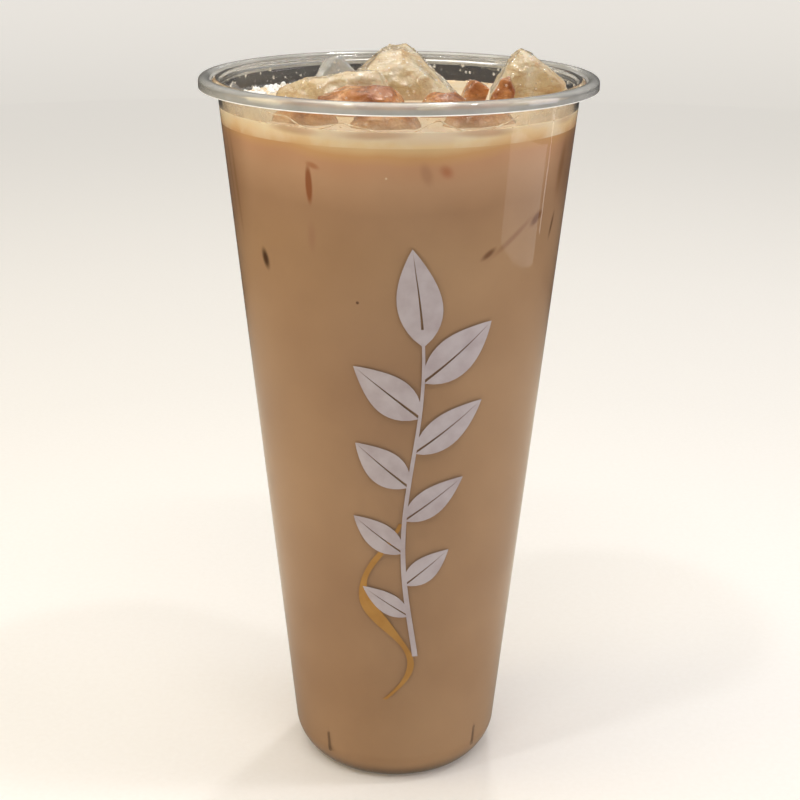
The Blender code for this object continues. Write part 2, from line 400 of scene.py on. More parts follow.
room, add, where = glow("grey_room")
room_height = add("SeparateXYZ", (where,)).outputs["Z"]
end_glow(add, add("MapRange", (room_height, -DOME_RADIUS, DOME_RADIUS, 0.0, 1.0)), ROOM_TONES)
dome_turns = [i / DOME_RINGS * pi for i in range(DOME_RINGS + 1)]
dome_profile = [(DOME_RADIUS * sin(a), DOME_RADIUS * cos(a) + DOME_LIFT) for a in dome_turns]
dome = turn_piece("dome", dome_profile, 64, room)
only_seen_by(dome, "glossy", "transmission")

# %% [markdown]
# The counter that the gloss sees
#
# The lower wall mirrors what lies close round the cup: a pale counter, which brightens both edges of the
# wall. Only rays off or through the plastic see this ring. It starts a little way out, so the foot keeps a
# dark line.

# %% A pale counter for reflections
COUNTER_START = 0.022
COUNTER_RADIUS = 0.42
COUNTER_LIFT = 0.2 * MM
COUNTER_TONES = [(0.06, "#8E867A"), (0.24, "#DAD1C2"), (0.62, "#D2C8B8"), (0.98, "#5C5752")]

counter_glow, add, where = glow("counter_glow")
end_glow(add, add("Math DIVIDE", (add("VectorMath LENGTH", (where,)), COUNTER_RADIUS)), COUNTER_TONES)
counter_profile = [(COUNTER_START, COUNTER_LIFT), (COUNTER_RADIUS, COUNTER_LIFT)]
counter = turn_piece("counter", counter_profile, STAGE_STEPS, counter_glow)
only_seen_by(counter, "glossy", "transmission")

# %% [markdown]
# The lights
#
# The cup stood under ceiling lamps: tops are bright and the upright wall is dimmer. A big soft lamp
# overhead does that, a warmer one fills from the left and a cooler one from the right. Three small lamps
# high up add the sparks on the wet ice, and a long thin one draws the white line along the rim. A pale card
# and a slat, low on the right, are faint: they only show as a soft panel and a fine line mirrored in the
# wall.

# %% Lamps and world
Lamp = namedtuple("Lamp", "name place power colour width depth")
LAMPS = (
    Lamp("overhead", (-0.15, 0.10, 1.10), 3.4, "#FFFAF2", 0.9, 0.7),
    Lamp("rim_strip", (0.03, -0.36, 0.72), 1.35, "#FFFDF8", 0.50, 0.022),
    Lamp("left_fill", (-0.75, -0.15, 0.35), 1.95, "#FFE9BA", 0.35, 0.7),
    Lamp("right_fill", (0.80, -0.05, 0.35), 1.7, "#F4F2FF", 0.35, 0.7),
    Lamp("spark_left", (-0.30, -0.30, 0.95), 1.0, "#FFFFFF", 0.05, 0.05),
    Lamp("spark_back", (0.12, 0.45, 0.95), 1.3, "#FFFFFF", 0.06, 0.06),
    Lamp("spark_right", (0.36, -0.10, 0.90), 0.9, "#FFFFFF", 0.05, 0.05),
    Lamp("pale_card", (0.30, -0.006, 0.060), 0.024, "#F8F4F0", 0.185, 0.052),
    Lamp("pale_slat", (0.30, 0.108, 0.085), 0.0022, "#FFFFFF", 0.004, 0.075),
)
WORLD_STRENGTH = 0.35
LAMPS_AIM = Vector((0, 0, 120 * MM))

for lamp in LAMPS:
    lamp_data = bpy.data.lights.new(lamp.name, "AREA")
    lamp_data.shape = "RECTANGLE"
    lamp_data.size = lamp.width
    lamp_data.size_y = lamp.depth
    lamp_data.energy = lamp.power
    lamp_data.color = linear(lamp.colour)[:3]
    lamp_object = bpy.data.objects.new(lamp.name, lamp_data)
    lamp_object.location = lamp.place
    lamp_object.visible_camera = False
    lamp_object.rotation_euler = (LAMPS_AIM - Vector(lamp.place)).to_track_quat("-Z", "Y").to_euler()
    bpy.context.scene.collection.objects.link(lamp_object)
world = bpy.data.worlds.new("even_light")
bpy.context.scene.world = world
world.use_nodes = True
feed(world.node_tree.nodes["Background"], {"Color": linear("#FFFBF5"), "Strength": WORLD_STRENGTH})
print("lamps:", len(LAMPS))

# %% [markdown]
# The clear plastic
#
# The cup is polypropylene, drawn or injected in one piece: clear, a little milky at the edges, with a soft
# gloss. Its index of refraction is about 1.49. The shader's transmission does the clear part. A fine
# upright waviness, left by the mould, makes reflections run down the wall as streaks. Scratches from
# stacking break the gloss a little. Shadow rays pass through it, as light does through a thin clear wall.

# %% Clear polypropylene
MOULD_STREAK_MM = 2.2
MOULD_STREAK_DEPTH = 0.03 * MM
SCUFF_MM = 6.0

clear_plastic, plastic_shader, add, where = new_material(
    "clear_polypropylene", Transmission_Weight=1.0, IOR=1.49
)
stretched = add("Mapping", {"Vector": where, "Scale": (1.0, 1.0, 0.06)})
streaks = add("TexNoise", {"Vector": stretched, "Scale": 1 / (MOULD_STREAK_MM * MM)})
scuffs = add("TexNoise", {"Vector": where, "Scale": 1 / (SCUFF_MM * MM), "Detail": 6.0})
gloss = add("MapRange", (scuffs, 0.35, 0.75, 0.02, 0.07))
haze = add("ValToRGB", (scuffs,), stops=[(0.3, "#F3F3F1"), (0.7, "#ECECEA")])
waviness = add("Bump", {"Height": streaks, "Strength": 0.25, "Distance": MOULD_STREAK_DEPTH})
feed(plastic_shader, {"Roughness": gloss, "Base Color": haze, "Normal": waviness})
print("clear plastic bends light by", plastic_shader.inputs["IOR"].default_value)

# %% [markdown]
# The cup
#
# The wall is a straight cone, 0.75 mm thick, that ends in a rounded heel and a foot ring. On top it rolls
# outward to a stiff rim: a small inner lip, a groove, and a wide bead with a skirt below. The heel follows
# a superellipse, which is fuller than a quarter circle, as moulded heels are. All of it is one profile line
# for the lathe, with many more steps than the solid model has, because clear plastic shows every flat. Two
# extra rows hold the straight wall at each end, or smooth shading would bend its reflections over the whole
# height.

# %% Sizes of the cup
CUP_HEIGHT = 180.0 * MM
RIM_RADIUS = 47.5 * MM
WALL_THICKNESS = 0.75 * MM
WALL_TOP_Z = 175.0 * MM
WALL_TOP_RADIUS = 42.97 * MM
WALL_FOOT_RADIUS = 26.1 * MM
HEEL_HEIGHT = 8.0 * MM
HEEL_SHAPE = 1.55
FOOT_RADIUS = 21.0 * MM
FOOT_RING_WIDTH = 1.6 * MM
FLOOR_TOP_Z = 2.2 * MM
FLOOR_THICKNESS = 1.2 * MM
FLOOR_EDGE_RADIUS = 19.9 * MM
FLOOR_HEEL_RISE = 1.0 * MM
UNDERSIDE_DRAFT = 0.8 * MM
NECK_DROP = 3.2 * MM
LIP_SETBACK = 0.9 * MM
LIP_HALF_WIDTH = 0.7 * MM
LIP_RISE = 0.6 * MM
LIP_DROP = 0.6 * MM
GROOVE_SETBACK = 1.0 * MM
GROOVE_DROP = 1.0 * MM
BEAD_HALF_WIDTH = 1.5 * MM
BEAD_RISE = 1.1 * MM
SKIRT_DROP = 2.8 * MM
SKIRT_ROUND = 0.3 * MM
SKIRT_THICKNESS = 0.9 * MM
HOLLOW_DROP = 1.6 * MM
HOLLOW_WIDTH = 1.3 * MM
NECK_FLARE = 0.5 * MM
WALL_HOLD = 0.6 * MM
CUP_STEPS = 256


def outer_radius(z):
    """The outside of the tapered wall at height z."""
    return WALL_FOOT_RADIUS + (WALL_TOP_RADIUS - WALL_FOOT_RADIUS) * z / WALL_TOP_Z


def inner_radius(z):
    return outer_radius(z) - WALL_THICKNESS


def heel(low, high, steps):
    """Points (r, z) of the rounded heel, from low on the foot up to high on the wall."""
    points = []
    for i in range(steps + 1):
        out = sin(i / steps * pi / 2) ** (2 / HEEL_SHAPE)
        drop = cos(i / steps * pi / 2) ** (2 / HEEL_SHAPE)
        points.append((low[0] + (high[0] - low[0]) * out, high[1] + (low[1] - high[1]) * drop))
    return points


def arc(centre, radii, start, end, steps):
    """Points (r, z) along a stretch of an ellipse, angles in degrees."""
    turns = [radians(start + (end - start) * i / steps) for i in range(steps + 1)]
    return [(centre[0] + radii[0] * cos(a), centre[1] + radii[1] * sin(a)) for a in turns]


# %% The cup's profile
def rim_profile():
    """The rolled rim from the inside of the wall, over the bead and back to the outside of the wall."""
    neck_z = CUP_HEIGHT - NECK_DROP
    lip_r = inner_radius(neck_z) + LIP_SETBACK
    lip = arc((lip_r, CUP_HEIGHT - LIP_DROP - LIP_RISE), (LIP_HALF_WIDTH, LIP_RISE), 180, 60, 10)
    groove = [(lip_r + GROOVE_SETBACK, CUP_HEIGHT - GROOVE_DROP)]
    bead_middle = (RIM_RADIUS - BEAD_HALF_WIDTH, CUP_HEIGHT - BEAD_RISE)
    bead = arc(bead_middle, (BEAD_HALF_WIDTH, BEAD_RISE), 150, 0, 16)
    skirt_z = CUP_HEIGHT - SKIRT_DROP
    skirt_middle = (RIM_RADIUS - SKIRT_THICKNESS / 2, skirt_z + SKIRT_ROUND)
    skirt = arc(skirt_middle, (SKIRT_THICKNESS / 2, SKIRT_ROUND), 0, -180, 8)
    hollow_r = RIM_RADIUS - SKIRT_THICKNESS - SKIRT_ROUND
    hollow_z = CUP_HEIGHT - HOLLOW_DROP
    under = [
        (hollow_r, hollow_z),
        (hollow_r - HOLLOW_WIDTH, hollow_z),
        (outer_radius(neck_z) + NECK_FLARE, hollow_z - NECK_FLARE),
        (outer_radius(neck_z), neck_z),
    ]
    return [(inner_radius(neck_z), neck_z)] + lip + groove + bead + skirt + under


def cup_profile():
    """The whole wall, from the middle of the floor inside to the middle of the underside."""
    heel_top = HEEL_HEIGHT + FLOOR_HEEL_RISE
    inside = heel((FLOOR_EDGE_RADIUS, FLOOR_TOP_Z), (inner_radius(heel_top), heel_top), 16)
    outside = heel((FOOT_RADIUS, 0.0), (outer_radius(HEEL_HEIGHT), HEEL_HEIGHT), 16)
    wall_ends = (heel_top + WALL_HOLD, CUP_HEIGHT - NECK_DROP - WALL_HOLD)
    wall_inside = [(inner_radius(z), z) for z in wall_ends]
    wall_outside = [(outer_radius(z), z) for z in wall_ends[::-1]]
    recess_r = FOOT_RADIUS - FOOT_RING_WIDTH
    recess_z = FLOOR_TOP_Z - FLOOR_THICKNESS
    underside = [(recess_r, 0.0), (recess_r - UNDERSIDE_DRAFT, recess_z), (0.0, recess_z)]
    wall_and_rim = wall_inside + rim_profile() + wall_outside
    return [(0.0, FLOOR_TOP_Z)] + inside + wall_and_rim + outside[::-1] + underside


cup = face_outward(turn_piece("cup_clear", cup_profile(), CUP_STEPS, clear_plastic))

# %% [markdown]
# Thick plastic is milky
#
# Polypropylene is full of tiny crystals. In a wall under a millimetre they hardly show, but the rolled rim
# is three times as deep, and there the plastic reads as a pale grey haze with white lines. So the rim has a
# finish of its own: half of the light goes through, and the rest is scattered back by a light grey base.
# The sharp lower edge of the bead is a painted glow: a near white finish that gives off a little light of
# its own, so it shows as a thin white line.
# The thick ring of the foot is as milky as the rim.

# %% Milky polypropylene for the rim, and a painted glow on its edge
RIM_START_Z = CUP_HEIGHT - NECK_DROP
BEAD_START_RADIUS = inner_radius(CUP_HEIGHT) + LIP_SETBACK + GROOVE_SETBACK
FOOT_HAZE_TOP = 1.3 * MM
HAZE_MM = 9.0

milky_plastic, milky_shader, add, where = new_material(
    "milky_polypropylene", Transmission_Weight=0.50, IOR=1.49, Coat_Weight=1.0, Coat_Roughness=0.02
)
cloudy = add("TexNoise", {"Vector": where, "Scale": 1 / (HAZE_MM * MM), "Detail": 4.0})
cloud_tone = add("ValToRGB", (cloudy,), stops=[(0.3, "#B7B7B2"), (0.7, "#D2D2CE")])
milky_gloss = add("MapRange", (cloudy, 0.3, 0.7, 0.08, 0.16))
feed(milky_shader, {"Base Color": cloud_tone, "Roughness": milky_gloss})
# Painted glow: a white finish with a little emission of its own, for the bead's lower edge.
edge_painted_glow, edge_shader, add, where = new_material(
    "polypropylene_lit_edge", Transmission_Weight=0.15, IOR=1.49, Roughness=0.1, Emission_Strength=0.28
)
uneven = add("TexNoise", {"Vector": where, "Scale": 1 / (HAZE_MM * MM), "Detail": 3.0})
edge_tone_and_glow = add("ValToRGB", (uneven,), stops=[(0.3, "#F0EEEA"), (0.7, "#FFFFFF")])
feed(edge_shader, {"Base Color": edge_tone_and_glow, "Emission Color": edge_tone_and_glow})
for finish in (milky_plastic, edge_painted_glow):
    cup.data.materials.append(finish)
counts = [0, 0]
for face in cup.data.polygons:
    out = Vector(face.center[:2]).length
    if face.center.z > RIM_START_Z and out > BEAD_START_RADIUS:
        # The low outer faces of the skirt get the painted glow.
        low = face.center.z < CUP_HEIGHT - SKIRT_DROP + SKIRT_ROUND and out > RIM_RADIUS - SKIRT_THICKNESS / 2
        face.material_index = 2 if low else 1
        counts[low] += 1
    elif face.center.z < FOOT_HAZE_TOP and out > FOOT_RADIUS - FOOT_RING_WIDTH:
        face.material_index = 1
print("faces of the milky bead and of its lit edge:", counts)

# %% [markdown]
# Put the cup in the frame
#
# Light passes through clear plastic, so the cup throws no shadow on the tea, and light that the tea gives
# back ignores it. The piece then rides on the frame's one body and stands for the solid cup.

# %% The cup rides on the frame
cup.visible_shadow = False
cup.visible_diffuse = False
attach(cup, "root")
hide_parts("cup")

# %% [markdown]
# The stacking ribs
#
# Four short upright ribs stand on the inside of the wall near the foot, so that stacked cups don't jam. All
# four are one small bar, put round the cup by a recipe: four points that start in one place are turned out
# to the wall, each by its own share of a circle, and each gets a bar that turns with it and leans with the
# wall.

# %% Four ribs round the wall
WALL_LEAN = (WALL_TOP_RADIUS - WALL_FOOT_RADIUS) / WALL_TOP_Z
RIB_COUNT = 4
RIB_FIRST_AZIMUTH = radians(-39.5)
RIB_BOTTOM_Z = 6.6 * MM
RIB_TOP_Z = 12.6 * MM
RIB_WIDTH = 0.8 * MM
RIB_STANDS_OUT = 0.45 * MM

rib_middle_z = (RIB_TOP_Z + RIB_BOTTOM_Z) / 2
rib_sizes = {"Count": RIB_COUNT, "First": RIB_FIRST_AZIMUTH, "Material": "any"}
rib_ring, rib_in, add = new_recipe("rib_ring", rib_sizes)
bar = add("MeshCube", {"Size": (RIB_WIDTH, 2 * RIB_STANDS_OUT, RIB_TOP_Z - RIB_BOTTOM_Z)})
start = {"Count": rib_in["Count"], "Start Location": (0, 0, rib_middle_z), "Offset": (0, 0, 0)}
rib_spots = add("MeshLine", start)
step_turn = add("Math DIVIDE", (2 * pi, rib_in["Count"]))
rib_turn = add("Math MULTIPLY_ADD", (add("InputIndex"), step_turn, rib_in["First"]))
lean_and_turn = add("CombineXYZ", {0: WALL_LEAN, 2: rib_turn})
at_wall = (0, -inner_radius(rib_middle_z), rib_middle_z)
out_from_axis = add("VectorRotate", {"Vector": at_wall, "Angle": rib_turn}, rotation_type="Z_AXIS")
placed = add("SetPosition", {"Geometry": rib_spots, "Position": out_from_axis})
bars = add("InstanceOnPoints", {"Points": placed, "Instance": bar, "Rotation": lean_and_turn})
serve(add, bars, rib_in["Material"])
ribs = cook("stacking_ribs", line_mesh("rib_line", [(0, 0, 0)]), rib_ring, Material=clear_plastic)
face_outward(ribs)
ribs.visible_shadow = False
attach(ribs, "root")

# %% [markdown]
# Levels and colours of the drink
#
# Milk tea is an opaque brown below. Where the ice has melted, a pale creamy layer floats on top, and
# between the two lies a thin yellowish band. Seen through the wall, the colour depends mostly on height, so
# it comes from a ramp on the object's own Z. The pale layer hangs a little lower in front than at the
# sides, and a slow noise lets its edge wander. The tea and its pale head share all this, so no seam shows
# between them.

# %% The colour of the drink by height
TEA_LEVEL = 169.5 * MM
HEAD_LEVEL = 172.2 * MM
RAMP_LOW = 145.0 * MM
RAMP_HIGH = 174.0 * MM
DRINK_TONES = (
    (145.0, "#AE8B69"), (155.0, "#AE8A6A"), (162.0, "#C49D7B"), (166.0, "#CB9E7A"), (168.2, "#D6A876"),
    (169.6, "#E3BE8E"), (170.8, "#E8CC9D"), (171.7, "#E6CFAC"), (172.3, "#E6D1B4"), (174.0, "#E8D6BE"),
)
FRONT_Y = -42.0 * MM
SIDE_Y = -33.0 * MM
FRONT_LIFT = 0.7 * MM
SIDE_DROP = 1.3 * MM
FOOT_DARK = 0.50
FOOT_DARK_LOW = 2.0 * MM
FOOT_DARK_HIGH = 6.0 * MM
DRIFT_MM = 14.0
DRIFT_RISE = 0.6 * MM


def colour_by_height(add, where):
    """The ramp that gives the drink's colour at each height."""
    apart = add("SeparateXYZ", (where,))
    hang = add("MapRange SMOOTHSTEP", (apart.outputs["Y"], FRONT_Y, SIDE_Y, FRONT_LIFT, -SIDE_DROP))
    drift = add("TexNoise", {"Vector": where, "Scale": 1 / (DRIFT_MM * MM), "Detail": 2.0})
    wander = add("MapRange", (drift, 0.25, 0.75, -DRIFT_RISE, DRIFT_RISE))
    hung = add("Math ADD", (apart.outputs["Z"], hang))
    share = add("MapRange", (add("Math ADD", (hung, wander)), RAMP_LOW, RAMP_HIGH, 0.0, 1.0))
    stops = [((z * MM - RAMP_LOW) / (RAMP_HIGH - RAMP_LOW), tint) for z, tint in DRINK_TONES]
    return add("ValToRGB", (share,), stops=stops)


print("the pale head is", round((HEAD_LEVEL - TEA_LEVEL) / MM, 1), "mm deep")

# %% [markdown]
# Milk tea behind the wall
#
# Ice sunk in the tea touches the wall here and there. Each touch shows as a darker or redder mark with soft
# edges. Other marks are painted shade: dark bands down the left and right sides of the wall, and a faint
# darker column down the middle. A mark is a stretched ball of colour: a Mapping node moves, turns and scales
# the object's coordinates so that the mark becomes a unit ball, and a Spherical Gradient fades from its
# middle. The last four marks are painted shadows of the stacking ribs, as thin lines. Broad, faint blotches
# come from a slow noise, and painted shade darkens the tea towards the foot. The liquid itself isn't shiny,
# since it wets the plastic: the gloss is the cup's.

# %% Where the sunken ice touches the wall, and painted shade
Mark = namedtuple("Mark", "azimuth z half_width half_height lean tint strength softness")
TOUCH_AND_PAINTED_SHADE_MARKS = (
    # Painted shade: a broad dark band and two fine dark streaks down the left side of the wall.
    Mark(-74.0, 160.0, 17.0, 26.0, -2, "#8A6442", 0.62, 0.80),
    Mark(-66.0, 157.0, 1.3, 17.0, -3, "#7E5A38", 0.50, 0.90),
    Mark(-70.5, 158.0, 0.8, 15.0, -3, "#7A5636", 0.45, 0.90),
    # Painted shade: a dark band and a dark streak down the right side of the wall.
    Mark(73.0, 163.0, 12.0, 15.0, 2, "#7E5838", 0.70, 0.80),
    Mark(65.0, 161.5, 2.6, 8.5, 6, "#7A5434", 0.60, 0.90),
    # Painted shade: a broad, faint darker column down the middle of the front.
    Mark(-6.0, 112.0, 17.0, 50.0, 0, "#8F6C54", 0.28, 0.90),
    # Where sunken ice touches the wall.
    Mark(-28.3, 160.6, 1.10, 5.4, 0, "#8A4E2C", 0.85, 0.50),
    Mark(-26.6, 165.0, 2.40, 1.0, 18, "#A0623E", 0.65, 0.80),
    Mark(-28.4, 148.6, 1.6, 5.0, 2, "#9A7058", 0.50, 0.90),
    Mark(-50.3, 141.1, 1.7, 3.4, -14, "#4E3520", 1.00, 0.75),
    Mark(14.7, 164.3, 2.6, 1.9, 40, "#A8694A", 0.75, 0.90),
    Mark(8.6, 163.8, 1.9, 3.6, -18, "#9C7055", 0.45, 0.80),
    Mark(41.0, 147.8, 10.5, 1.15, -34, "#8A6047", 0.60, 0.85),
    Mark(31.0, 144.6, 3.0, 1.1, -34, "#6E4A35", 0.85, 0.80),
    Mark(51.5, 151.0, 3.4, 1.6, -34, "#6E4630", 0.85, 0.75),
    Mark(63.0, 148.0, 0.9, 4.6, 14, "#5E412E", 0.80, 0.80),
    Mark(-13.3, 134.1, 0.45, 0.45, 0, "#5E4030", 0.90, 0.40),
    Mark(-3.5, 163.0, 0.30, 0.30, 0, "#D9C3A4", 0.90, 0.40),
    # Painted shadows of the four stacking ribs, as thin darker lines on the tea.
    *(Mark(azimuth, 10.6, 0.38, 4.6, 0, "#7E5C45", 0.32, 0.80) for azimuth in (-39.5, 50.5, 140.5, 230.5)),
)
MARK_DEPTH_MM = 6.0


def with_marks(add, where, colour, marks):
    """Lays each mark over the colour and returns the result."""
    for mark in marks:
        turn = radians(mark.azimuth)
        out = inner_radius(mark.z * MM)
        place = {
            "Location": (out * sin(turn), -out * cos(turn), mark.z * MM),
            "Rotation": (0.0, radians(mark.lean), turn),
            "Scale": (mark.half_width * MM, MARK_DEPTH_MM * MM, mark.half_height * MM),
        }
        mapped = add("Mapping", {"Vector": where, **place}, vector_type="TEXTURE")
        ball = add("TexGradient", (mapped,), gradient_type="SPHERICAL")
        fade = add("MapRange SMOOTHSTEP", (ball.outputs["Fac"], 0.0, mark.softness, 0.0, mark.strength))
        colour = add("Mix", {0: fade, 6: colour, 7: linear(mark.tint)}, data_type="RGBA")
    return colour


# %% The finish of the milk tea
BLOTCH_MM = 42.0

milk_tea, tea_shader, add, where = new_material("milk_tea", Roughness=0.6, Specular_IOR_Level=0.0)
base = colour_by_height(add, where)
blotches = add("TexNoise", {"Vector": where, "Scale": 1 / (BLOTCH_MM * MM), "Detail": 2.0})
depth_tone = add("ValToRGB", (blotches,), stops=[(0.3, "#E4DDD8"), (0.7, "#FFFFFF")])
mottled = add("Mix", {0: 1.0, 6: base, 7: depth_tone}, data_type="RGBA", blend_type="MULTIPLY")
# Painted shade: the tea turns darker towards the foot, for the dark line at the heel.
foot_height = add("SeparateXYZ", (where,)).outputs["Z"]
foot_painted_shade = add("MapRange SMOOTHSTEP", (foot_height, FOOT_DARK_LOW, FOOT_DARK_HIGH, FOOT_DARK, 1.0))
shaded = add("VectorMath SCALE", {0: mottled, "Scale": foot_painted_shade})
feed(tea_shader, {"Base Color": with_marks(add, where, shaded, TOUCH_AND_PAINTED_SHADE_MARKS)})
print("marks on the tea:", len(TOUCH_AND_PAINTED_SHADE_MARKS))

# %% [markdown]
# The body of tea
#
# The tea fills the cup up to its level. It is turned on the same lathe. Its skin lies a quarter of a
# millimetre inside the plastic, not at the wall's inner face: if the two only touched, the renderer would
# find a thin gap of air between them, and that shows as a silvery line.

# %% Turn the tea
INTO_WALL = 0.25 * MM


def tea_profile():
    """The tea from the middle of its surface, down the wall and back to the middle of its base."""
    heel_top = HEEL_HEIGHT + FLOOR_HEEL_RISE
    base_z = FLOOR_TOP_Z - INTO_WALL
    curve = heel((FLOOR_EDGE_RADIUS + INTO_WALL, base_z), (inner_radius(heel_top) + INTO_WALL, heel_top), 16)
    top = [(0.0, TEA_LEVEL), (inner_radius(TEA_LEVEL) + INTO_WALL, TEA_LEVEL)]
    return top + curve[::-1] + [(0.0, base_z)]


tea = face_outward(turn_piece("milk_tea_body", tea_profile(), CUP_STEPS, milk_tea))
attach(tea, "root")
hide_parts("milk_tea")

# %% [markdown]
# Ice
#
# Broken ice in a drink has three things going on: shallow hollows with sharp ridges between them, where it
# broke or melted; fine ripples; and a wet skin with sparks on it. The blocks of the frame already have the
# right forms, so each is copied, its loose triangles are merged, and it is given an even, dense skin by a
# voxel remesh. A recipe then moves the skin along its normals: a Voronoi pattern's distance is low in the
# middle of each cell and high at its borders, which is just a hollow with ridges round it.

# %% The recipe for an icy skin
SEED_SHIFT = 31.7 * MM
HOLLOW_MIDDLE = 0.45
ICE_SIZES = {
    "Hollow Size": 6.0 * MM, "Hollow Depth": 0.8 * MM, "Ripple Size": 1.6 * MM, "Ripple Depth": 0.12 * MM,
    "Stretch": 1.0, "Seed": 0, "Material": "any",
}

ice_skin, ice_in, add = new_recipe("ice_skin", ICE_SIZES)
place = add("InputPosition")
shift = add("Math MULTIPLY", (ice_in["Seed"], SEED_SHIFT))
shifted = add("VectorMath ADD", (place, shift))
stretch = add("CombineXYZ", (1.0, 1.0, ice_in["Stretch"]))
cell_place = add("VectorMath MULTIPLY", (shifted, stretch))
cell_scale = add("Math DIVIDE", (1.0, ice_in["Hollow Size"]))
cells = add("TexVoronoi", {"Vector": cell_place, "Scale": cell_scale})
hollow = add("Math SUBTRACT", (cells, HOLLOW_MIDDLE))
hollow_move = add("Math MULTIPLY", (hollow, ice_in["Hollow Depth"]))
ripple_scale = add("Math DIVIDE", (1.0, ice_in["Ripple Size"]))
ripples = add("TexNoise", {"Vector": cell_place, "Scale": ripple_scale, "Detail": 2.0})
ripple = add("Math SUBTRACT", (ripples, 0.5))
ripple_move = add("Math MULTIPLY", (ripple, ice_in["Ripple Depth"]))
total = add("Math ADD", (hollow_move, ripple_move))
along = add("VectorMath SCALE", {0: add("InputNormal"), "Scale": total})
broken = add("SetPosition", {"Geometry": ice_in["Geometry"], "Offset": along})
ice_smooth = add("SetShadeSmooth", {0: broken, "Shade Smooth": True})
serve(add, ice_smooth, ice_in["Material"])
print("the icy skin has", len(ice_skin.nodes), "nodes")

# %% [markdown]
# Three looks of ice
#
# All of it is frozen water, index 1.31, wet with tea. The cream ice is cloudy with trapped air and has a
# film of the pale head on it. The brown ice is wet with tea that shows warm and dark through its skin. The
# clear pieces have little on them. The cloudiness is subsurface scattering: light goes in and comes out
# nearby. The wet film is a coat, very smooth, and small bumps on it break a lamp into many sparks. Cracks
# show as faint bent veins. Close to the liquid the pale head clings to every block, so all the colours fade
# to cream there.

# %% Finishes of the ice
IceLook = namedtuple("IceLook", "pale middle deep streak scatter clear rough bump")
ICE_LOOKS = {
    "cream_ice": IceLook("#E3D7BE", "#D8C6A2", "#C5A97C", "#A87A48", 0.42, 0.18, 0.08, 0.60),
    "brown_ice": IceLook("#E9B67E", "#C98A52", "#94552C", "#6A391B", 0.22, 0.18, 0.08, 0.85),
    "clear_ice": IceLook("#F4F4F0", "#E8EAE8", "#D2D6D6", "#FFFFFF", 0.20, 0.65, 0.08, 0.30),
}
CLOUD_MM = 7.0
STREAK_MM = 3.0
VEIN_MM = 3.6
VEIN_STRENGTH = 0.30
VEIN_BEND = 5.0 * MM
SPARK_MM = 1.3
SPARK_DEPTH = 0.6 * MM
FILM_LOW = 172.8 * MM
FILM_HIGH = 176.0 * MM
FILM_STRENGTH = 0.75
FILM_TINT = "#DDBE9C"


def ice_material(name, look):
    """Wet ice: cloudy colour, streaks along the broken face, veins, and a finely bumped glossy film."""
    made, shader, add, where = new_material(
        name, IOR=1.31, Subsurface_Weight=look.scatter, Subsurface_Scale=2.5 * MM,
        Subsurface_Radius=(1.0, 0.7, 0.45), Transmission_Weight=look.clear,
        Coat_Weight=1.0, Coat_Roughness=0.06, Coat_IOR=1.50,
    )
    cloud = add("TexNoise", {"Vector": where, "Scale": 1 / (CLOUD_MM * MM), "Detail": 4.0, "Distortion": 0.8})
    colour = add("ValToRGB", (cloud,), stops=[(0.32, look.deep), (0.5, look.middle), (0.66, look.pale)])
    slanted = add("Mapping", {"Vector": where, "Rotation": (0.3, 0.35, 0.4), "Scale": (0.25, 1.0, 1.4)})
    streak_look = {"Scale": 1 / (STREAK_MM * MM), "Detail": 3.0, "Distortion": 0.6}
    streak = add("TexNoise", {"Vector": slanted, **streak_look})
    streak_share = add("MapRange", (streak, 0.56, 0.72, 0.0, 0.6))
    streaked = add("Mix", {0: streak_share, 6: colour, 7: linear(look.streak)}, data_type="RGBA")
    height = add("SeparateXYZ", (where,)).outputs["Z"]
    film_share = add("MapRange SMOOTHSTEP", (height, FILM_LOW, FILM_HIGH, FILM_STRENGTH, 0.0))
    bent = add("VectorMath MULTIPLY_ADD", (streak.outputs[1], (VEIN_BEND,) * 3, slanted))
    vein = add("TexVoronoi", {"Vector": bent, "Scale": 1 / (VEIN_MM * MM)}, feature="DISTANCE_TO_EDGE")
    vein_share = add("MapRange", (vein, 0.01, 0.05, VEIN_STRENGTH, 0.0))
    veined = add("Mix", {0: vein_share, 6: streaked, 7: linear(look.streak)}, data_type="RGBA")
    filmed = add("Mix", {0: film_share, 6: veined, 7: linear(FILM_TINT)}, data_type="RGBA")
    fine = add("TexNoise", {"Vector": where, "Scale": 1 / (SPARK_MM * MM), "Detail": 3.0})
    bump = add("Bump", {"Height": fine, "Strength": look.bump, "Distance": SPARK_DEPTH})
    roughness = add("MapRange", (cloud, 0.3, 0.7, look.rough, look.rough * 2.2))
    feed(shader, {"Base Color": filmed, "Normal": bump, "Coat Normal": bump, "Roughness": roughness})
    return made


ice_finishes = {name: ice_material(name, look) for name, look in ICE_LOOKS.items()}
print("finishes of ice:", ", ".join(ice_finishes))

# %% [markdown]
# Break the ice
#
# Each block of the frame has its own finish and its own break. The large cream blocks have wide, shallow
# hollows. The brown shards are small, so their hollows are small and deeper for their size. The numbers
# here say only how the skin breaks: the number of flat facets, the size and depth of the hollows, the depth
# of the ripples, and how both are drawn out. The place in the list is the seed.

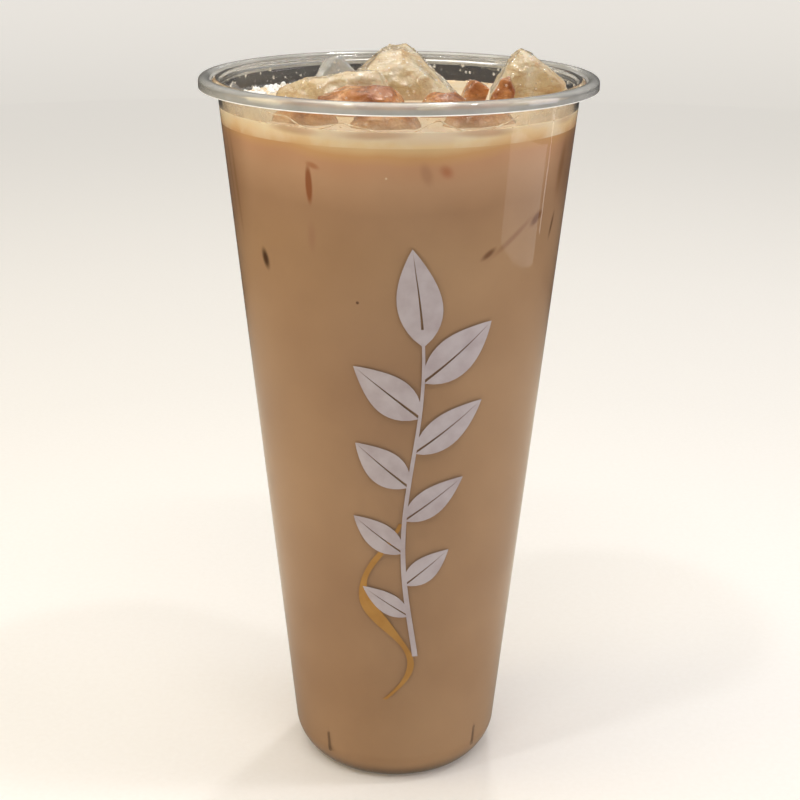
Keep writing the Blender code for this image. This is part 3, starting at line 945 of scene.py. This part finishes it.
# %% Skin every block
Break = namedtuple("Break", "node finish facets hollow depth ripple stretch")
BREAKS = (
    Break("ice_peak", "cream_ice", 110, 5.5, 0.9, 0.34, 1.3),
    Break("ice_right", "cream_ice", 80, 4.5, 0.8, 0.30, 1.0),
    Break("ice_slab", "cream_ice", 110, 5.5, 0.9, 0.34, 2.0),
    Break("ice_brown", "brown_ice", 90, 5.0, 0.8, 0.30, 2.2),
    Break("ice_left_wing", "brown_ice", 22, 4.0, 0.5, 0.16, 1.0),
    Break("ice_right_wing", "brown_ice", 22, 4.0, 0.5, 0.16, 1.0),
    Break("ice_middle", "brown_ice", 44, 3.6, 0.7, 0.25, 1.4),
    Break("ice_front", "brown_ice", 50, 3.6, 0.6, 0.22, 1.6),
    Break("ice_front_left", "brown_ice", 50, 3.4, 0.6, 0.22, 1.6),
    Break("ice_front_right", "brown_ice", 50, 3.6, 0.6, 0.22, 1.6),
    Break("ice_back_left", "clear_ice", 40, 3.4, 0.4, 0.12, 1.0),
    Break("ice_sliver", "clear_ice", 24, 3.0, 0.2, 0.10, 1.0),
)
SKIN_VOXEL = 0.36 * MM
LOOSE_MERGE = 0.01 * MM


def even_copy(node, name, facets):
    """The frame's block, broken down to a number of flat facets, as one closed mesh of even, dense faces."""
    form = bmesh.new()
    form.from_mesh(frame["nodes"][node].data)
    bmesh.ops.remove_doubles(form, verts=form.verts, dist=LOOSE_MERGE)
    bmesh.ops.recalc_face_normals(form, faces=form.faces)
    mesh = bpy.data.meshes.new(name)
    form.to_mesh(mesh)
    form.free()
    block = bpy.data.objects.new(name, mesh)
    bpy.context.scene.collection.objects.link(block)
    facet = block.modifiers.new("facet", "DECIMATE")
    facet.ratio = facets / len(mesh.polygons)
    even = block.modifiers.new("even", "REMESH")
    even.mode = "VOXEL"
    even.voxel_size = SKIN_VOXEL
    even.use_smooth_shade = True
    soften = block.modifiers.new("soften", "SMOOTH")
    soften.iterations = 1
    plain = applied(block)
    bpy.data.objects.remove(block)
    return plain


ice_pieces = bpy.data.collections.new("ice_pieces")
bpy.context.scene.collection.children.link(ice_pieces)
for seed, item in enumerate(BREAKS):
    block = cook(
        item.node + "_wet", even_copy(item.node, item.node + "_even", item.facets), ice_skin,
        Hollow_Size=item.hollow * MM, Hollow_Depth=item.depth * MM, Ripple_Depth=item.ripple * MM,
        Stretch=item.stretch, Seed=seed, Material=ice_finishes[item.finish],
    )
    bpy.context.scene.collection.objects.unlink(block)
    ice_pieces.objects.link(block)
    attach(block, "root")
    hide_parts(item.node)

# %% [markdown]
# The pale head
#
# The creamy layer on top is thin and still. It climbs the ice by most of a millimetre, and the wall hardly
# at all, as a liquid does on what it wets, and it lies in slow swells between the blocks. The lathe turns a
# disc with many rings. A second recipe then lifts its points: a noise makes the swells, and the distance to
# the nearest ice, which Geometry Proximity measures, makes the rise round each block.

# %% Turn and ripple the head
HEAD_RINGS = 76
CLIMB_WALL = 0.1 * MM
CLIMB_ICE = 0.8 * MM
CLIMB_REACH = 1.1 * MM
SWELL_MM = 13.0
SWELL_RISE = 0.2 * MM
HEAD_OVERLAP = 0.3 * MM
HEAD_TOP_BAND = 0.5 * MM
ONE_OVER_E = 0.3679
HEAD_SIZES = {
    "Level": HEAD_LEVEL, "Wall Radius": 0.04, "Swell": SWELL_RISE, "Climb Wall": CLIMB_WALL,
    "Climb Ice": CLIMB_ICE, "Reach": CLIMB_REACH, "Ice": {"any"}, "Material": "any",
}


def head_profile():
    """The head from the middle of its surface to the wall, down the wall, and back below the tea's level."""
    top_r = inner_radius(HEAD_LEVEL) + INTO_WALL
    low_z = TEA_LEVEL - HEAD_OVERLAP
    surface = [(top_r * i / HEAD_RINGS, HEAD_LEVEL) for i in range(HEAD_RINGS + 1)]
    return surface + [(inner_radius(low_z) + INTO_WALL, low_z), (0.0, low_z)]


lift, lift_in, add = new_recipe("swell_and_climb", HEAD_SIZES)
place = add("InputPosition")
apart = add("SeparateXYZ", (place,))
swells = add("TexNoise", {"Vector": place, "Scale": 1 / (SWELL_MM * MM), "Detail": 1.5})
swell = add("Math SUBTRACT", (swells, 0.5))
swell_rise = add("Math MULTIPLY", (swell, lift_in["Swell"]))
flat = add("CombineXYZ", (apart.outputs[0], apart.outputs[1]))
out = add("VectorMath LENGTH", (flat,))
to_wall = add("Math SUBTRACT", (lift_in["Wall Radius"], out))
ice_here = add("CollectionInfo", {"Collection": lift_in["Ice"]})
near_ice = add("Proximity", {0: ice_here, "Sample Position": place})
rises = []
for distance, height in ((to_wall, "Climb Wall"), (near_ice.outputs["Distance"], "Climb Ice")):
    fading = add("Math POWER", (ONE_OVER_E, add("Math DIVIDE", (distance, lift_in["Reach"]))))
    rises.append(add("Math MULTIPLY", (fading, lift_in[height])))
both = add("Math ADD", tuple(rises))
all_rise = add("Math ADD", (both, swell_rise))
upward = add("CombineXYZ", {2: all_rise})
is_top = add("Compare GREATER_THAN", (apart.outputs[2], HEAD_LEVEL - HEAD_TOP_BAND))
lifted = add("SetPosition", {"Geometry": lift_in["Geometry"], "Selection": is_top, "Offset": upward})
serve(add, lifted, lift_in["Material"])
print("the head's recipe has", len(lift.nodes), "nodes")

# %% [markdown]
# The finish of the head
#
# Seen from above the head is a matt cream with a faint gloss, paler where foam gathers at the wall, and
# warmer between the blocks. Seen through the wall it follows the same ramp by height as the tea, and the
# feet of the front blocks, which are sunk in it, show through as soft brown marks.

# %% Cream, foam and the piece itself
FOAM_MM = 9.0
GRAIN_MM = 0.8
GRAIN_DEPTH = 0.1 * MM
SUNKEN_FEET = (
    Mark(-33.0, 172.6, 9.0, 1.5, 3, "#B58C6C", 0.60, 0.75),
    Mark(-6.5, 172.4, 10.5, 1.4, -2, "#B58C6C", 0.60, 0.75),
    Mark(26.0, 172.5, 10.5, 1.4, 2, "#B58C6C", 0.60, 0.75),
    Mark(63.0, 172.6, 6.0, 1.2, 0, "#C9A98A", 0.60, 0.80),
)

tea_head, head_shader, add, where = new_material(
    "milk_tea_head", IOR=1.35, Roughness=0.22, Subsurface_Weight=0.25, Subsurface_Scale=2.0 * MM,
    Subsurface_Radius=(1.0, 0.8, 0.55),
)
base = colour_by_height(add, where)
foam = add("TexNoise", {"Vector": where, "Scale": 1 / (FOAM_MM * MM), "Detail": 4.0})
foam_share = add("MapRange", (foam, 0.45, 0.68, 0.0, 0.55))
foamed = add("Mix", {0: foam_share, 6: base, 7: linear("#F2E6C9")}, data_type="RGBA")
grain = add("TexNoise", {"Vector": where, "Scale": 1 / (GRAIN_MM * MM), "Detail": 2.0})
head_bump = add("Bump", {"Height": grain, "Strength": 0.15, "Distance": GRAIN_DEPTH})
head_marked = with_marks(add, where, foamed, SUNKEN_FEET)
feed(head_shader, {"Base Color": head_marked, "Normal": head_bump})

disc = face_outward(turn_piece("head_disc", head_profile(), CUP_STEPS, tea_head))
head = cook(
    "milk_tea_head_surface", disc.data, lift,
    Wall_Radius=inner_radius(HEAD_LEVEL), Ice=ice_pieces, Material=tea_head,
)
bpy.data.objects.remove(disc)
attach(head, "root")
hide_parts("milk_tea_head")

# %% [markdown]
# The print on the cup
#
# The cup carries a plain decoration in white ink: a sprig of tea leaves, and an amber brush line near the
# foot. Ink is a coat a few hundredths of a millimetre thick that lies on the outside of the wall. The sprig
# is drawn flat first, with one leaf as an instance on each point of the stem. The same recipe then sways it
# and wraps it round the cup: a distance across the print becomes an angle at the wall's radius for that
# height.

# %% A recipe that draws and wraps a print
LEAF_COUNT = 9
LEAF_LENGTH = 22.0 * MM
LEAF_HALF_WIDTH = 5.0 * MM
MIDRIB_GAP = 0.7 * MM
LEAF_STEPS = 14
STEM_LOW = 40.0 * MM
STEM_HIGH = 128.0 * MM
STEM_HALF_WIDTH = 0.6 * MM
AMBER_LIFT = 0.01 * MM
WHITE_LIFT = 0.07 * MM
SWAY = 2.2 * MM
SWAY_WAVE = 95 * MM
INK_DEPTH = 0.05 * MM
SPRIG_MIDDLE = 4.0 * MM
FIRST_LEAF_Z = STEM_LOW + 12.0 * MM
LAST_LEAF_Z = STEM_HIGH - 4.0 * MM
SPRIG_SIZES = {"Leaf": {"any"}, "Lean": 52.0, "Least": 0.6, "Most": 1.05, "Material": "any"}


def ribbon(rows):
    """Vertices and faces of a flat strip in the XZ plane from rows of (left x, right x, z)."""
    points = []
    for left, right, z in rows:
        points += [(left, 0.0, z), ((left + right) / 2, 0.0, z), (right, 0.0, z)]
    faces = []
    for i in range(len(rows) - 1):
        for j in (0, 1):
            a = 3 * i + j
            faces.append((a, a + 1, a + 4, a + 3))
    return points, faces


def leaf_mesh():
    """Two half blades beside an open midrib. The base of the leaf is at the origin and the tip points up."""
    points, faces = [], []
    for side in (-1, 1):
        rows = []
        for i in range(LEAF_STEPS + 1):
            t = i / LEAF_STEPS
            width = LEAF_HALF_WIDTH * sin(pi * t ** 0.8) ** 0.9
            near = MIDRIB_GAP / 2 * (1 - t)
            pair = sorted((side * near, side * max(near, width)))
            rows.append((*pair, t * LEAF_LENGTH))
        more, quads = ribbon(rows)
        faces += [tuple(k + len(points) for k in quad) for quad in quads]
        points += more
    return new_mesh("leaf", points, faces=faces)


leaf_pattern = bpy.data.collections.new("leaf_pattern")
leaf_pattern.objects.link(bpy.data.objects.new("leaf", leaf_mesh()))


def add_wrap(add, geometry, sway, wave, lift):
    """Sways flat print sideways and wraps it on the cup, as the last step before it gets its depth."""
    flat = add("SeparateXYZ", (add("InputPosition"),))
    phase = add("Math MULTIPLY", (flat.outputs[2], 2 * pi / wave))
    aside = add("Math MULTIPLY_ADD", (add("Math SINE", (phase,)), sway, flat.outputs[0]))
    radius = add("Math MULTIPLY_ADD", (flat.outputs[2], WALL_LEAN, WALL_FOOT_RADIUS + lift))
    turn = add("Math DIVIDE", (aside, radius))
    parts = []
    for kind, sign in (("SINE", 1.0), ("COSINE", -1.0)):
        scaled = add("Math MULTIPLY", (add("Math " + kind, (turn,)), radius))
        parts.append(add("Math MULTIPLY", (scaled, sign)))
    wrapped = add("CombineXYZ", (*parts, flat.outputs[2]))
    return add("SetPosition", {"Geometry": geometry, "Position": wrapped})


sprig, sprig_in, add = new_recipe("leafy_sprig", SPRIG_SIZES)
number = add("InputIndex")
parity = add("Math FLOORED_MODULO", (number, 2.0))
side = add("Math MULTIPLY_ADD", (parity, 2.0, -1.0))
is_tip = add("Math LESS_THAN", (number, LEAF_COUNT - 1.5))
lean = add("Math MULTIPLY", (side, sprig_in["Lean"]))
lean_here = add("Math MULTIPLY", (lean, is_tip))
lean_turn = add("Math RADIANS", (lean_here,))
leaf_turn = add("CombineXYZ", {1: lean_turn})
leaf_size = add("MapRange", (number, 0.0, LEAF_COUNT - 1.0, sprig_in["Least"], sprig_in["Most"]))
leaf_source = add("CollectionInfo", {"Collection": sprig_in["Leaf"]})
leaf_step = (0, 0, (LAST_LEAF_Z - FIRST_LEAF_Z) / (LEAF_COUNT - 1))
first_leaf = (SPRIG_MIDDLE, 0, FIRST_LEAF_Z)
knots = add("MeshLine", {"Count": LEAF_COUNT, "Start Location": first_leaf, "Offset": leaf_step})
leaf_look = {"Instance": leaf_source, "Rotation": leaf_turn, "Scale": leaf_size}
leaves = add("InstanceOnPoints", {"Points": knots, **leaf_look})
joined = add("JoinGeometry", (add("RealizeInstances", {"Geometry": leaves}),))
feed(joined, {0: sprig_in["Geometry"]})
serve(add, add_wrap(add, joined, SWAY, SWAY_WAVE, WHITE_LIFT), sprig_in["Material"])
print("the sprig's recipe has", len(sprig.nodes), "nodes")

# %% [markdown]
# Ink
#
# Screen ink is matt and a little uneven: where the squeegee left less of it the tea shows through and the
# white turns lilac grey. So each ink has a slow mottle between two near tones, and a soft gloss.

# %% Print with white and amber ink
INK_PATTERN = (5.0, 5.0, 0.35, 0.6)
STEM_STEPS = 60
BRUSH_STEPS = 80
BRUSH_LOW_MM = 27
BRUSH_RISE_MM = 51
BRUSH_MIDDLE = -2.5 * MM
BRUSH_WAVE = 7.0 * MM


def give_depth(made):
    """Ink has two sides and an edge: the flat print gets its depth toward the outside."""
    solid = made.modifiers.new("depth", "SOLIDIFY")
    solid.thickness = INK_DEPTH
    solid.offset = 1.0
    plain = applied(made)
    made.modifiers.clear()
    made.data = plain
    return face_outward(made)


INKS = (("white_screen_ink", "#AEA1A3", "#BAB0B2"), ("amber_screen_ink", "#A67637", "#B0813F"))
white_ink, amber_ink = [
    drifting_finish(name, thin, thick, INK_PATTERN, Roughness=0.5, Specular_IOR_Level=0.3)
    for name, thin, thick in INKS
]
stem_rows = []
for i in range(STEM_STEPS + 1):
    t = i / STEM_STEPS
    half = STEM_HALF_WIDTH * (1.15 - 0.6 * t)
    stem_rows.append((-half, half, STEM_LOW + (STEM_HIGH - STEM_LOW) * t))
stem_points, stem_faces = ribbon(stem_rows)
stem_mesh = new_mesh("stem", [(x + SPRIG_MIDDLE, y, z) for x, y, z in stem_points], faces=stem_faces)
sprig_print = give_depth(cook("print_sprig", stem_mesh, sprig, Leaf=leaf_pattern, Material=white_ink))
brush_rows = []
for i in range(BRUSH_STEPS + 1):
    t = i / BRUSH_STEPS
    middle = BRUSH_MIDDLE + BRUSH_WAVE * sin(2.3 * pi * t) * (1 - 0.35 * t)
    half = (0.5 + 1.7 * sin(pi * t) ** 2 * (0.6 + 0.4 * sin(5 * pi * t))) * MM
    brush_rows.append((middle - half, middle + half, (BRUSH_LOW_MM + BRUSH_RISE_MM * t) * MM))
brush_points, brush_faces = ribbon(brush_rows)
brush_mesh = new_mesh("brush", brush_points, faces=brush_faces)
brush, brush_in, add = new_recipe("brush_line", {"Material": "any"})
serve(add, add_wrap(add, brush_in["Geometry"], 0.0, SWAY_WAVE, AMBER_LIFT), brush_in["Material"])
brush_print = give_depth(cook("print_brush_line", brush_mesh, brush, Material=amber_ink))
for made in (sprig_print, brush_print):
    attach(made, "root")

# %% [markdown]
# Bubbles, wet beads and crumbs
#
# A fresh drink is busy where it meets the ice and the wall: small bubbles gather at the edge of the head,
# beads of melt water sit on the ice and on the dry wall above, and white crumbs of crushed ice float at the
# back. All of them are many copies of one small ball. So one recipe scatters them: it takes a skin, keeps
# the faces that lie in a band of heights, spreads points over them with a fixed seed, and puts a ball of a
# random size on each.

# %% The scatter recipe
BALL_DETAIL = 2
LUMP_MM = 0.8
SMALL_ONES = 2.5
SCATTER_SIZES = {
    "Density": 1.0, "Low": 0.0, "High": 1.0, "Front": 1.0, "Least": 0.1 * MM, "Most": 0.3 * MM,
    "Flatten": 1.0, "Rough": 0.0, "Seed": 0, "Material": "any",
}

scatter, scatter_in, add = new_recipe("scatter_balls", SCATTER_SIZES)
apart = add("SeparateXYZ", (add("InputPosition"),))
above = add("Math GREATER_THAN", (apart.outputs[2], scatter_in["Low"]))
below = add("Math LESS_THAN", (apart.outputs[2], scatter_in["High"]))
behind = add("Math GREATER_THAN", (apart.outputs[1], add("Math SUBTRACT", (0.0, scatter_in["Front"]))))
band = add("Math MULTIPLY", (above, below))
allowed = add("Math MULTIPLY", (band, behind))
skin = {"Mesh": scatter_in["Geometry"], "Selection": allowed}
spread = add("DistributePointsOnFaces", skin | {name: scatter_in[name] for name in ("Density", "Seed")})
chance = add("RandomValue", {2: 0.0, 3: 1.0, 8: scatter_in["Seed"]})
skewed = add("Math POWER", (chance, SMALL_ONES))
ball_size = add("MapRange", (skewed, 0.0, 1.0, scatter_in["Least"], scatter_in["Most"]))
ball_height = add("Math MULTIPLY", (ball_size, scatter_in["Flatten"]))
ball_scale = add("CombineXYZ", (ball_size, ball_size, ball_height))
ball = add("MeshIcoSphere", {"Radius": 1.0, "Subdivisions": BALL_DETAIL})
ball_look = {"Instance": ball, "Rotation": spread.outputs["Rotation"], "Scale": ball_scale}
balls = add("InstanceOnPoints", {"Points": spread, **ball_look})
real_balls = add("RealizeInstances", {"Geometry": balls})
lumps = add("TexNoise", {"Vector": add("InputPosition"), "Scale": 1 / (LUMP_MM * MM), "Detail": 1.0})
lump_centre = add("VectorMath SUBTRACT", (lumps.outputs[1], (0.5, 0.5, 0.5)))
lump_move = add("VectorMath SCALE", {0: lump_centre, "Scale": scatter_in["Rough"]})
lumped = add("SetPosition", {"Geometry": real_balls, "Offset": lump_move})
round_balls = add("SetShadeSmooth", {0: lumped, "Shade Smooth": True})
serve(add, round_balls, scatter_in["Material"])
print("the scatter recipe has", len(scatter.nodes), "nodes")

# %% [markdown]
# Melt water, foam and frost
#
# A bead of water is clear and very smooth: it shows the lamps as points. A bubble in the head is a thin
# film of milky tea, so it is pale and glossy. Crushed ice is white, because it has so many faces inside,
# and rough. The same white finish, as tiny flecks on the cream ice, is painted glints.

# %% Finishes of the small things
melt_water = drifting_finish(
    "melt_water", "#F4EEDF", "#FFFFFF", (2.0, 3.0, 0.35, 0.65), Transmission_Weight=0.75, IOR=1.40,
    Roughness=0.02,
)
milky_bubble = drifting_finish(
    "milky_bubble", "#DDBE98", "#F3E6CC", (1.5, 3.0, 0.35, 0.65), Transmission_Weight=0.25, IOR=1.35,
    Roughness=0.08, Coat_Weight=1.0,
)
crushed_frost = drifting_finish(
    "crushed_frost", "#E9EAE8", "#FFFFFF", (1.2, 3.0, 0.35, 0.65), Roughness=0.35, IOR=1.31, Coat_Weight=0.6
)
print("small finishes:", [finish.name for finish in (melt_water, milky_bubble, crushed_frost)])


# %% Skins to scatter on
def joined_copy(name, sources, keep=None):
    """One plain mesh of several objects' faces. With a test, only faces that look up and pass it are kept."""
    form = bmesh.new()
    for source in sources:
        form.from_mesh(source.data)
    if keep:
        form.normal_update()
        rest = [face for face in form.faces if face.normal.z < 0.5 or not keep(face.calc_center_median())]
        bmesh.ops.delete(form, geom=rest, context="FACES")
    mesh = bpy.data.meshes.new(name)
    form.to_mesh(mesh)
    form.free()
    return mesh


def scatter_on(name, mesh, slot, **values):
    """A piece of many balls on a skin. It throws no shadow, as the real ones hardly do."""
    made = cook(name, mesh, scatter, **values)
    made.visible_shadow = False
    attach(made, "root")


def off_wall(spot):
    """How far a spot of the head is from the inside of the wall."""
    return inner_radius(HEAD_LEVEL) - Vector(spot[:2]).length


DROPS_LOW = 173.4 * MM
DROPS_HIGH = 177.6 * MM
DROPS_GAP = 0.1 * MM
GLINT_FLECKS_FROM = 174 * MM
HEAD_EDGE_WIDTH = 1.6 * MM
CRUMBS_OFF_WALL = 7 * MM
CRUMBS_BEHIND_Y = 12 * MM
CRUMBS_LEFT_OF_X = -10 * MM
BEADS_ABOVE_HEAD = 1.2 * MM


wet_ice = [block for block in ice_pieces.objects if block.name != "ice_sliver_wet"]
scatter_on(
    "wet_beads_on_ice", joined_copy("ice_skins", wet_ice), "clear_ice",
    Density=3.4e5, Low=HEAD_LEVEL + BEADS_ABOVE_HEAD, Least=0.10 * MM, Most=0.42 * MM, Flatten=0.6, Seed=3,
    Material=melt_water,
)
head_edge = joined_copy("head_edge", [head], lambda spot: off_wall(spot) < HEAD_EDGE_WIDTH)
scatter_on(
    "bubbles_at_the_wall", head_edge, "milk_tea_head",
    Density=1.3e6, Low=HEAD_LEVEL - HEAD_TOP_BAND, Least=0.10 * MM, Most=0.42 * MM, Flatten=0.8, Seed=5,
    Material=milky_bubble,
)
scatter_on(
    "bubbles_on_the_head", joined_copy("head_top", [head], lambda spot: True), "milk_tea_head",
    Density=9.0e4, Low=HEAD_LEVEL - HEAD_TOP_BAND, Least=0.08 * MM, Most=0.35 * MM, Flatten=0.7, Seed=6,
    Material=milky_bubble,
)
# Painted glints: tiny white flecks of the frost finish on the tops of the cream blocks stand in for sparks of
# light on the wet ice.
cream_names = ("ice_peak_wet", "ice_right_wet", "ice_slab_wet")
cream_blocks = [block for block in wet_ice if block.name in cream_names]
cream_tops = joined_copy("cream_tops", cream_blocks, lambda spot: spot.z > GLINT_FLECKS_FROM)
scatter_on(
    "frost_flecks_on_ice", cream_tops, "clear_ice",
    Density=4.5e5, Least=0.04 * MM, Most=0.20 * MM, Flatten=0.5, Seed=11, Material=crushed_frost,
)
crumb_mesh = joined_copy(
    "head_back_left", [head],
    lambda spot: off_wall(spot) < CRUMBS_OFF_WALL and spot.y > CRUMBS_BEHIND_Y and spot.x < CRUMBS_LEFT_OF_X,
)
scatter_on(
    "crushed_ice", crumb_mesh, "clear_ice",
    Density=5.0e5, Least=0.15 * MM, Most=0.95 * MM, Rough=1.4 * MM, Seed=9, Material=crushed_frost,
)
band_profile = [(inner_radius(z) - DROPS_GAP, z) for z in (DROPS_HIGH, DROPS_LOW)]
band_sheet = turn_piece("wall_sheet", band_profile, STAGE_STEPS, melt_water)
scatter_on(
    "drops_on_the_wall", band_sheet.data, "clear_ice",
    Density=2.2e5, Front=8 * MM, Least=0.10 * MM, Most=0.5 * MM, Flatten=0.35, Seed=7, Material=melt_water,
)
bpy.data.objects.remove(band_sheet)

# %% [markdown]
# The milky film on the wall
#
# Where the drink has lapped at the dry wall it leaves a thin film, cloudy on the left and right, and its
# lower edge runs round the front ice as a wet thread. The film is a thin turned shell just off the plastic:
# it covers the wall only in part, so alpha thins it, and a noise makes it patchy. The thread is a path on
# the wall, given by angle and height, that a recipe turns into a flattened tube.

# %% Film and thread
FILM_TOP = 176.6 * MM
FILM_GAP = 0.06 * MM
FILM_DEPTH = 0.05 * MM
FILM_FOOT = HEAD_LEVEL - 0.2 * MM
FILM_PATCH_MM = 5.0
FILM_SIDES = (22 * MM, 33 * MM)
FILM_BACK = (-4 * MM, 6 * MM)

milk_film, film_shader, add, where = new_material("milk_film", Roughness=0.35, IOR=1.35)
patches = add("TexNoise", {"Vector": where, "Scale": 1 / (FILM_PATCH_MM * MM), "Detail": 5.0})
film_tone = add("ValToRGB", (patches,), stops=[(0.3, "#D8BE98"), (0.7, "#E8D8BC")])
film_apart = add("SeparateXYZ", (where,))
sideways = add("Math ABSOLUTE", (film_apart.outputs[0],))
at_sides = add("MapRange SMOOTHSTEP", (sideways, *FILM_SIDES, 0.10, 1.0))
by_height = add("MapRange", (film_apart.outputs[2], HEAD_LEVEL, FILM_TOP, 1.0, 0.35))
patchy = add("MapRange", (patches, 0.35, 0.65, 0.45, 0.95))
in_front = add("MapRange SMOOTHSTEP", (film_apart.outputs[1], *FILM_BACK, 1.0, 0.0))
cover = at_sides
for share_of in (by_height, patchy, in_front):
    cover = add("Math MULTIPLY", (cover, share_of))
feed(film_shader, {"Base Color": film_tone, "Alpha": cover})
film_outside = [(0.0, FILM_TOP), (0.0, FILM_FOOT)]
film_inside = [(FILM_DEPTH, FILM_FOOT), (FILM_DEPTH, FILM_TOP)]
film_corners = film_outside + film_inside + film_outside[:1]
film_profile = [(inner_radius(z) - FILM_GAP - inset, z) for inset, z in film_corners]
film = face_outward(turn_piece("milk_film_on_wall", film_profile, 128, milk_film))
film.visible_shadow = False

THREAD_PATH = (
    (-42.9, 175.6), (-38.9, 175.3), (-34.4, 175.0), (-30.1, 173.4), (-25.2, 173.0), (-21.0, 173.7),
    (-17.1, 174.7), (-13.0, 174.2), (-7.3, 173.3), (-3.4, 172.6), (0.5, 172.4), (4.7, 173.2), (8.3, 174.5),
    (11.7, 175.5), (15.2, 174.3), (19.4, 173.3), (24.4, 173.1), (30.2, 173.5), (35.0, 174.5), (38.2, 175.6),
)
THREAD_GAP = 0.12 * MM
THREAD_RADIUS = 0.16 * MM
THREAD_RINGS = 220
BEAD_MM = 1.2
BEAD_SWELL = 0.5 * MM

thread_points = []
for degrees_round, height_mm in THREAD_PATH:
    turn = radians(degrees_round)
    out = inner_radius(height_mm * MM) - THREAD_GAP
    thread_points.append((out * sin(turn), -out * cos(turn), height_mm * MM))
thread, thread_in, add = new_recipe("wet_thread", {"Radius": THREAD_RADIUS, "Material": "any"})
path_curve = add("MeshToCurve", {"Mesh": thread_in["Geometry"]})
round_path = add("CurveSplineType", {"Curve": path_curve}, spline_type="CATMULL_ROM")
fine_path = add("ResampleCurve", {"Curve": round_path, "Count": THREAD_RINGS})
ring = add("CurvePrimitiveCircle", {"Resolution": 8, "Radius": thread_in["Radius"]})
tube = add("CurveToMesh", {"Curve": fine_path, "Profile Curve": ring, "Fill Caps": True})
wobble = add("TexNoise", {"Vector": add("InputPosition"), "Scale": 1 / (BEAD_MM * MM), "Detail": 1.0})
wobble_centre = add("Math SUBTRACT", (wobble, 0.5))
swollen = add("Math MULTIPLY", (wobble_centre, BEAD_SWELL))
outward = add("VectorMath SCALE", {0: add("InputNormal"), "Scale": swollen})
beaded = add("SetPosition", {"Geometry": tube, "Offset": outward})
thread_smooth = add("SetShadeSmooth", {0: beaded, "Shade Smooth": True})
serve(add, thread_smooth, thread_in["Material"])
thread_line = line_mesh("thread_line", thread_points)
wet_thread = face_outward(cook("wet_thread_on_wall", thread_line, thread, Material=milky_bubble))
wet_thread.visible_shadow = False
for made in (film, wet_thread):
    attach(made, "root")
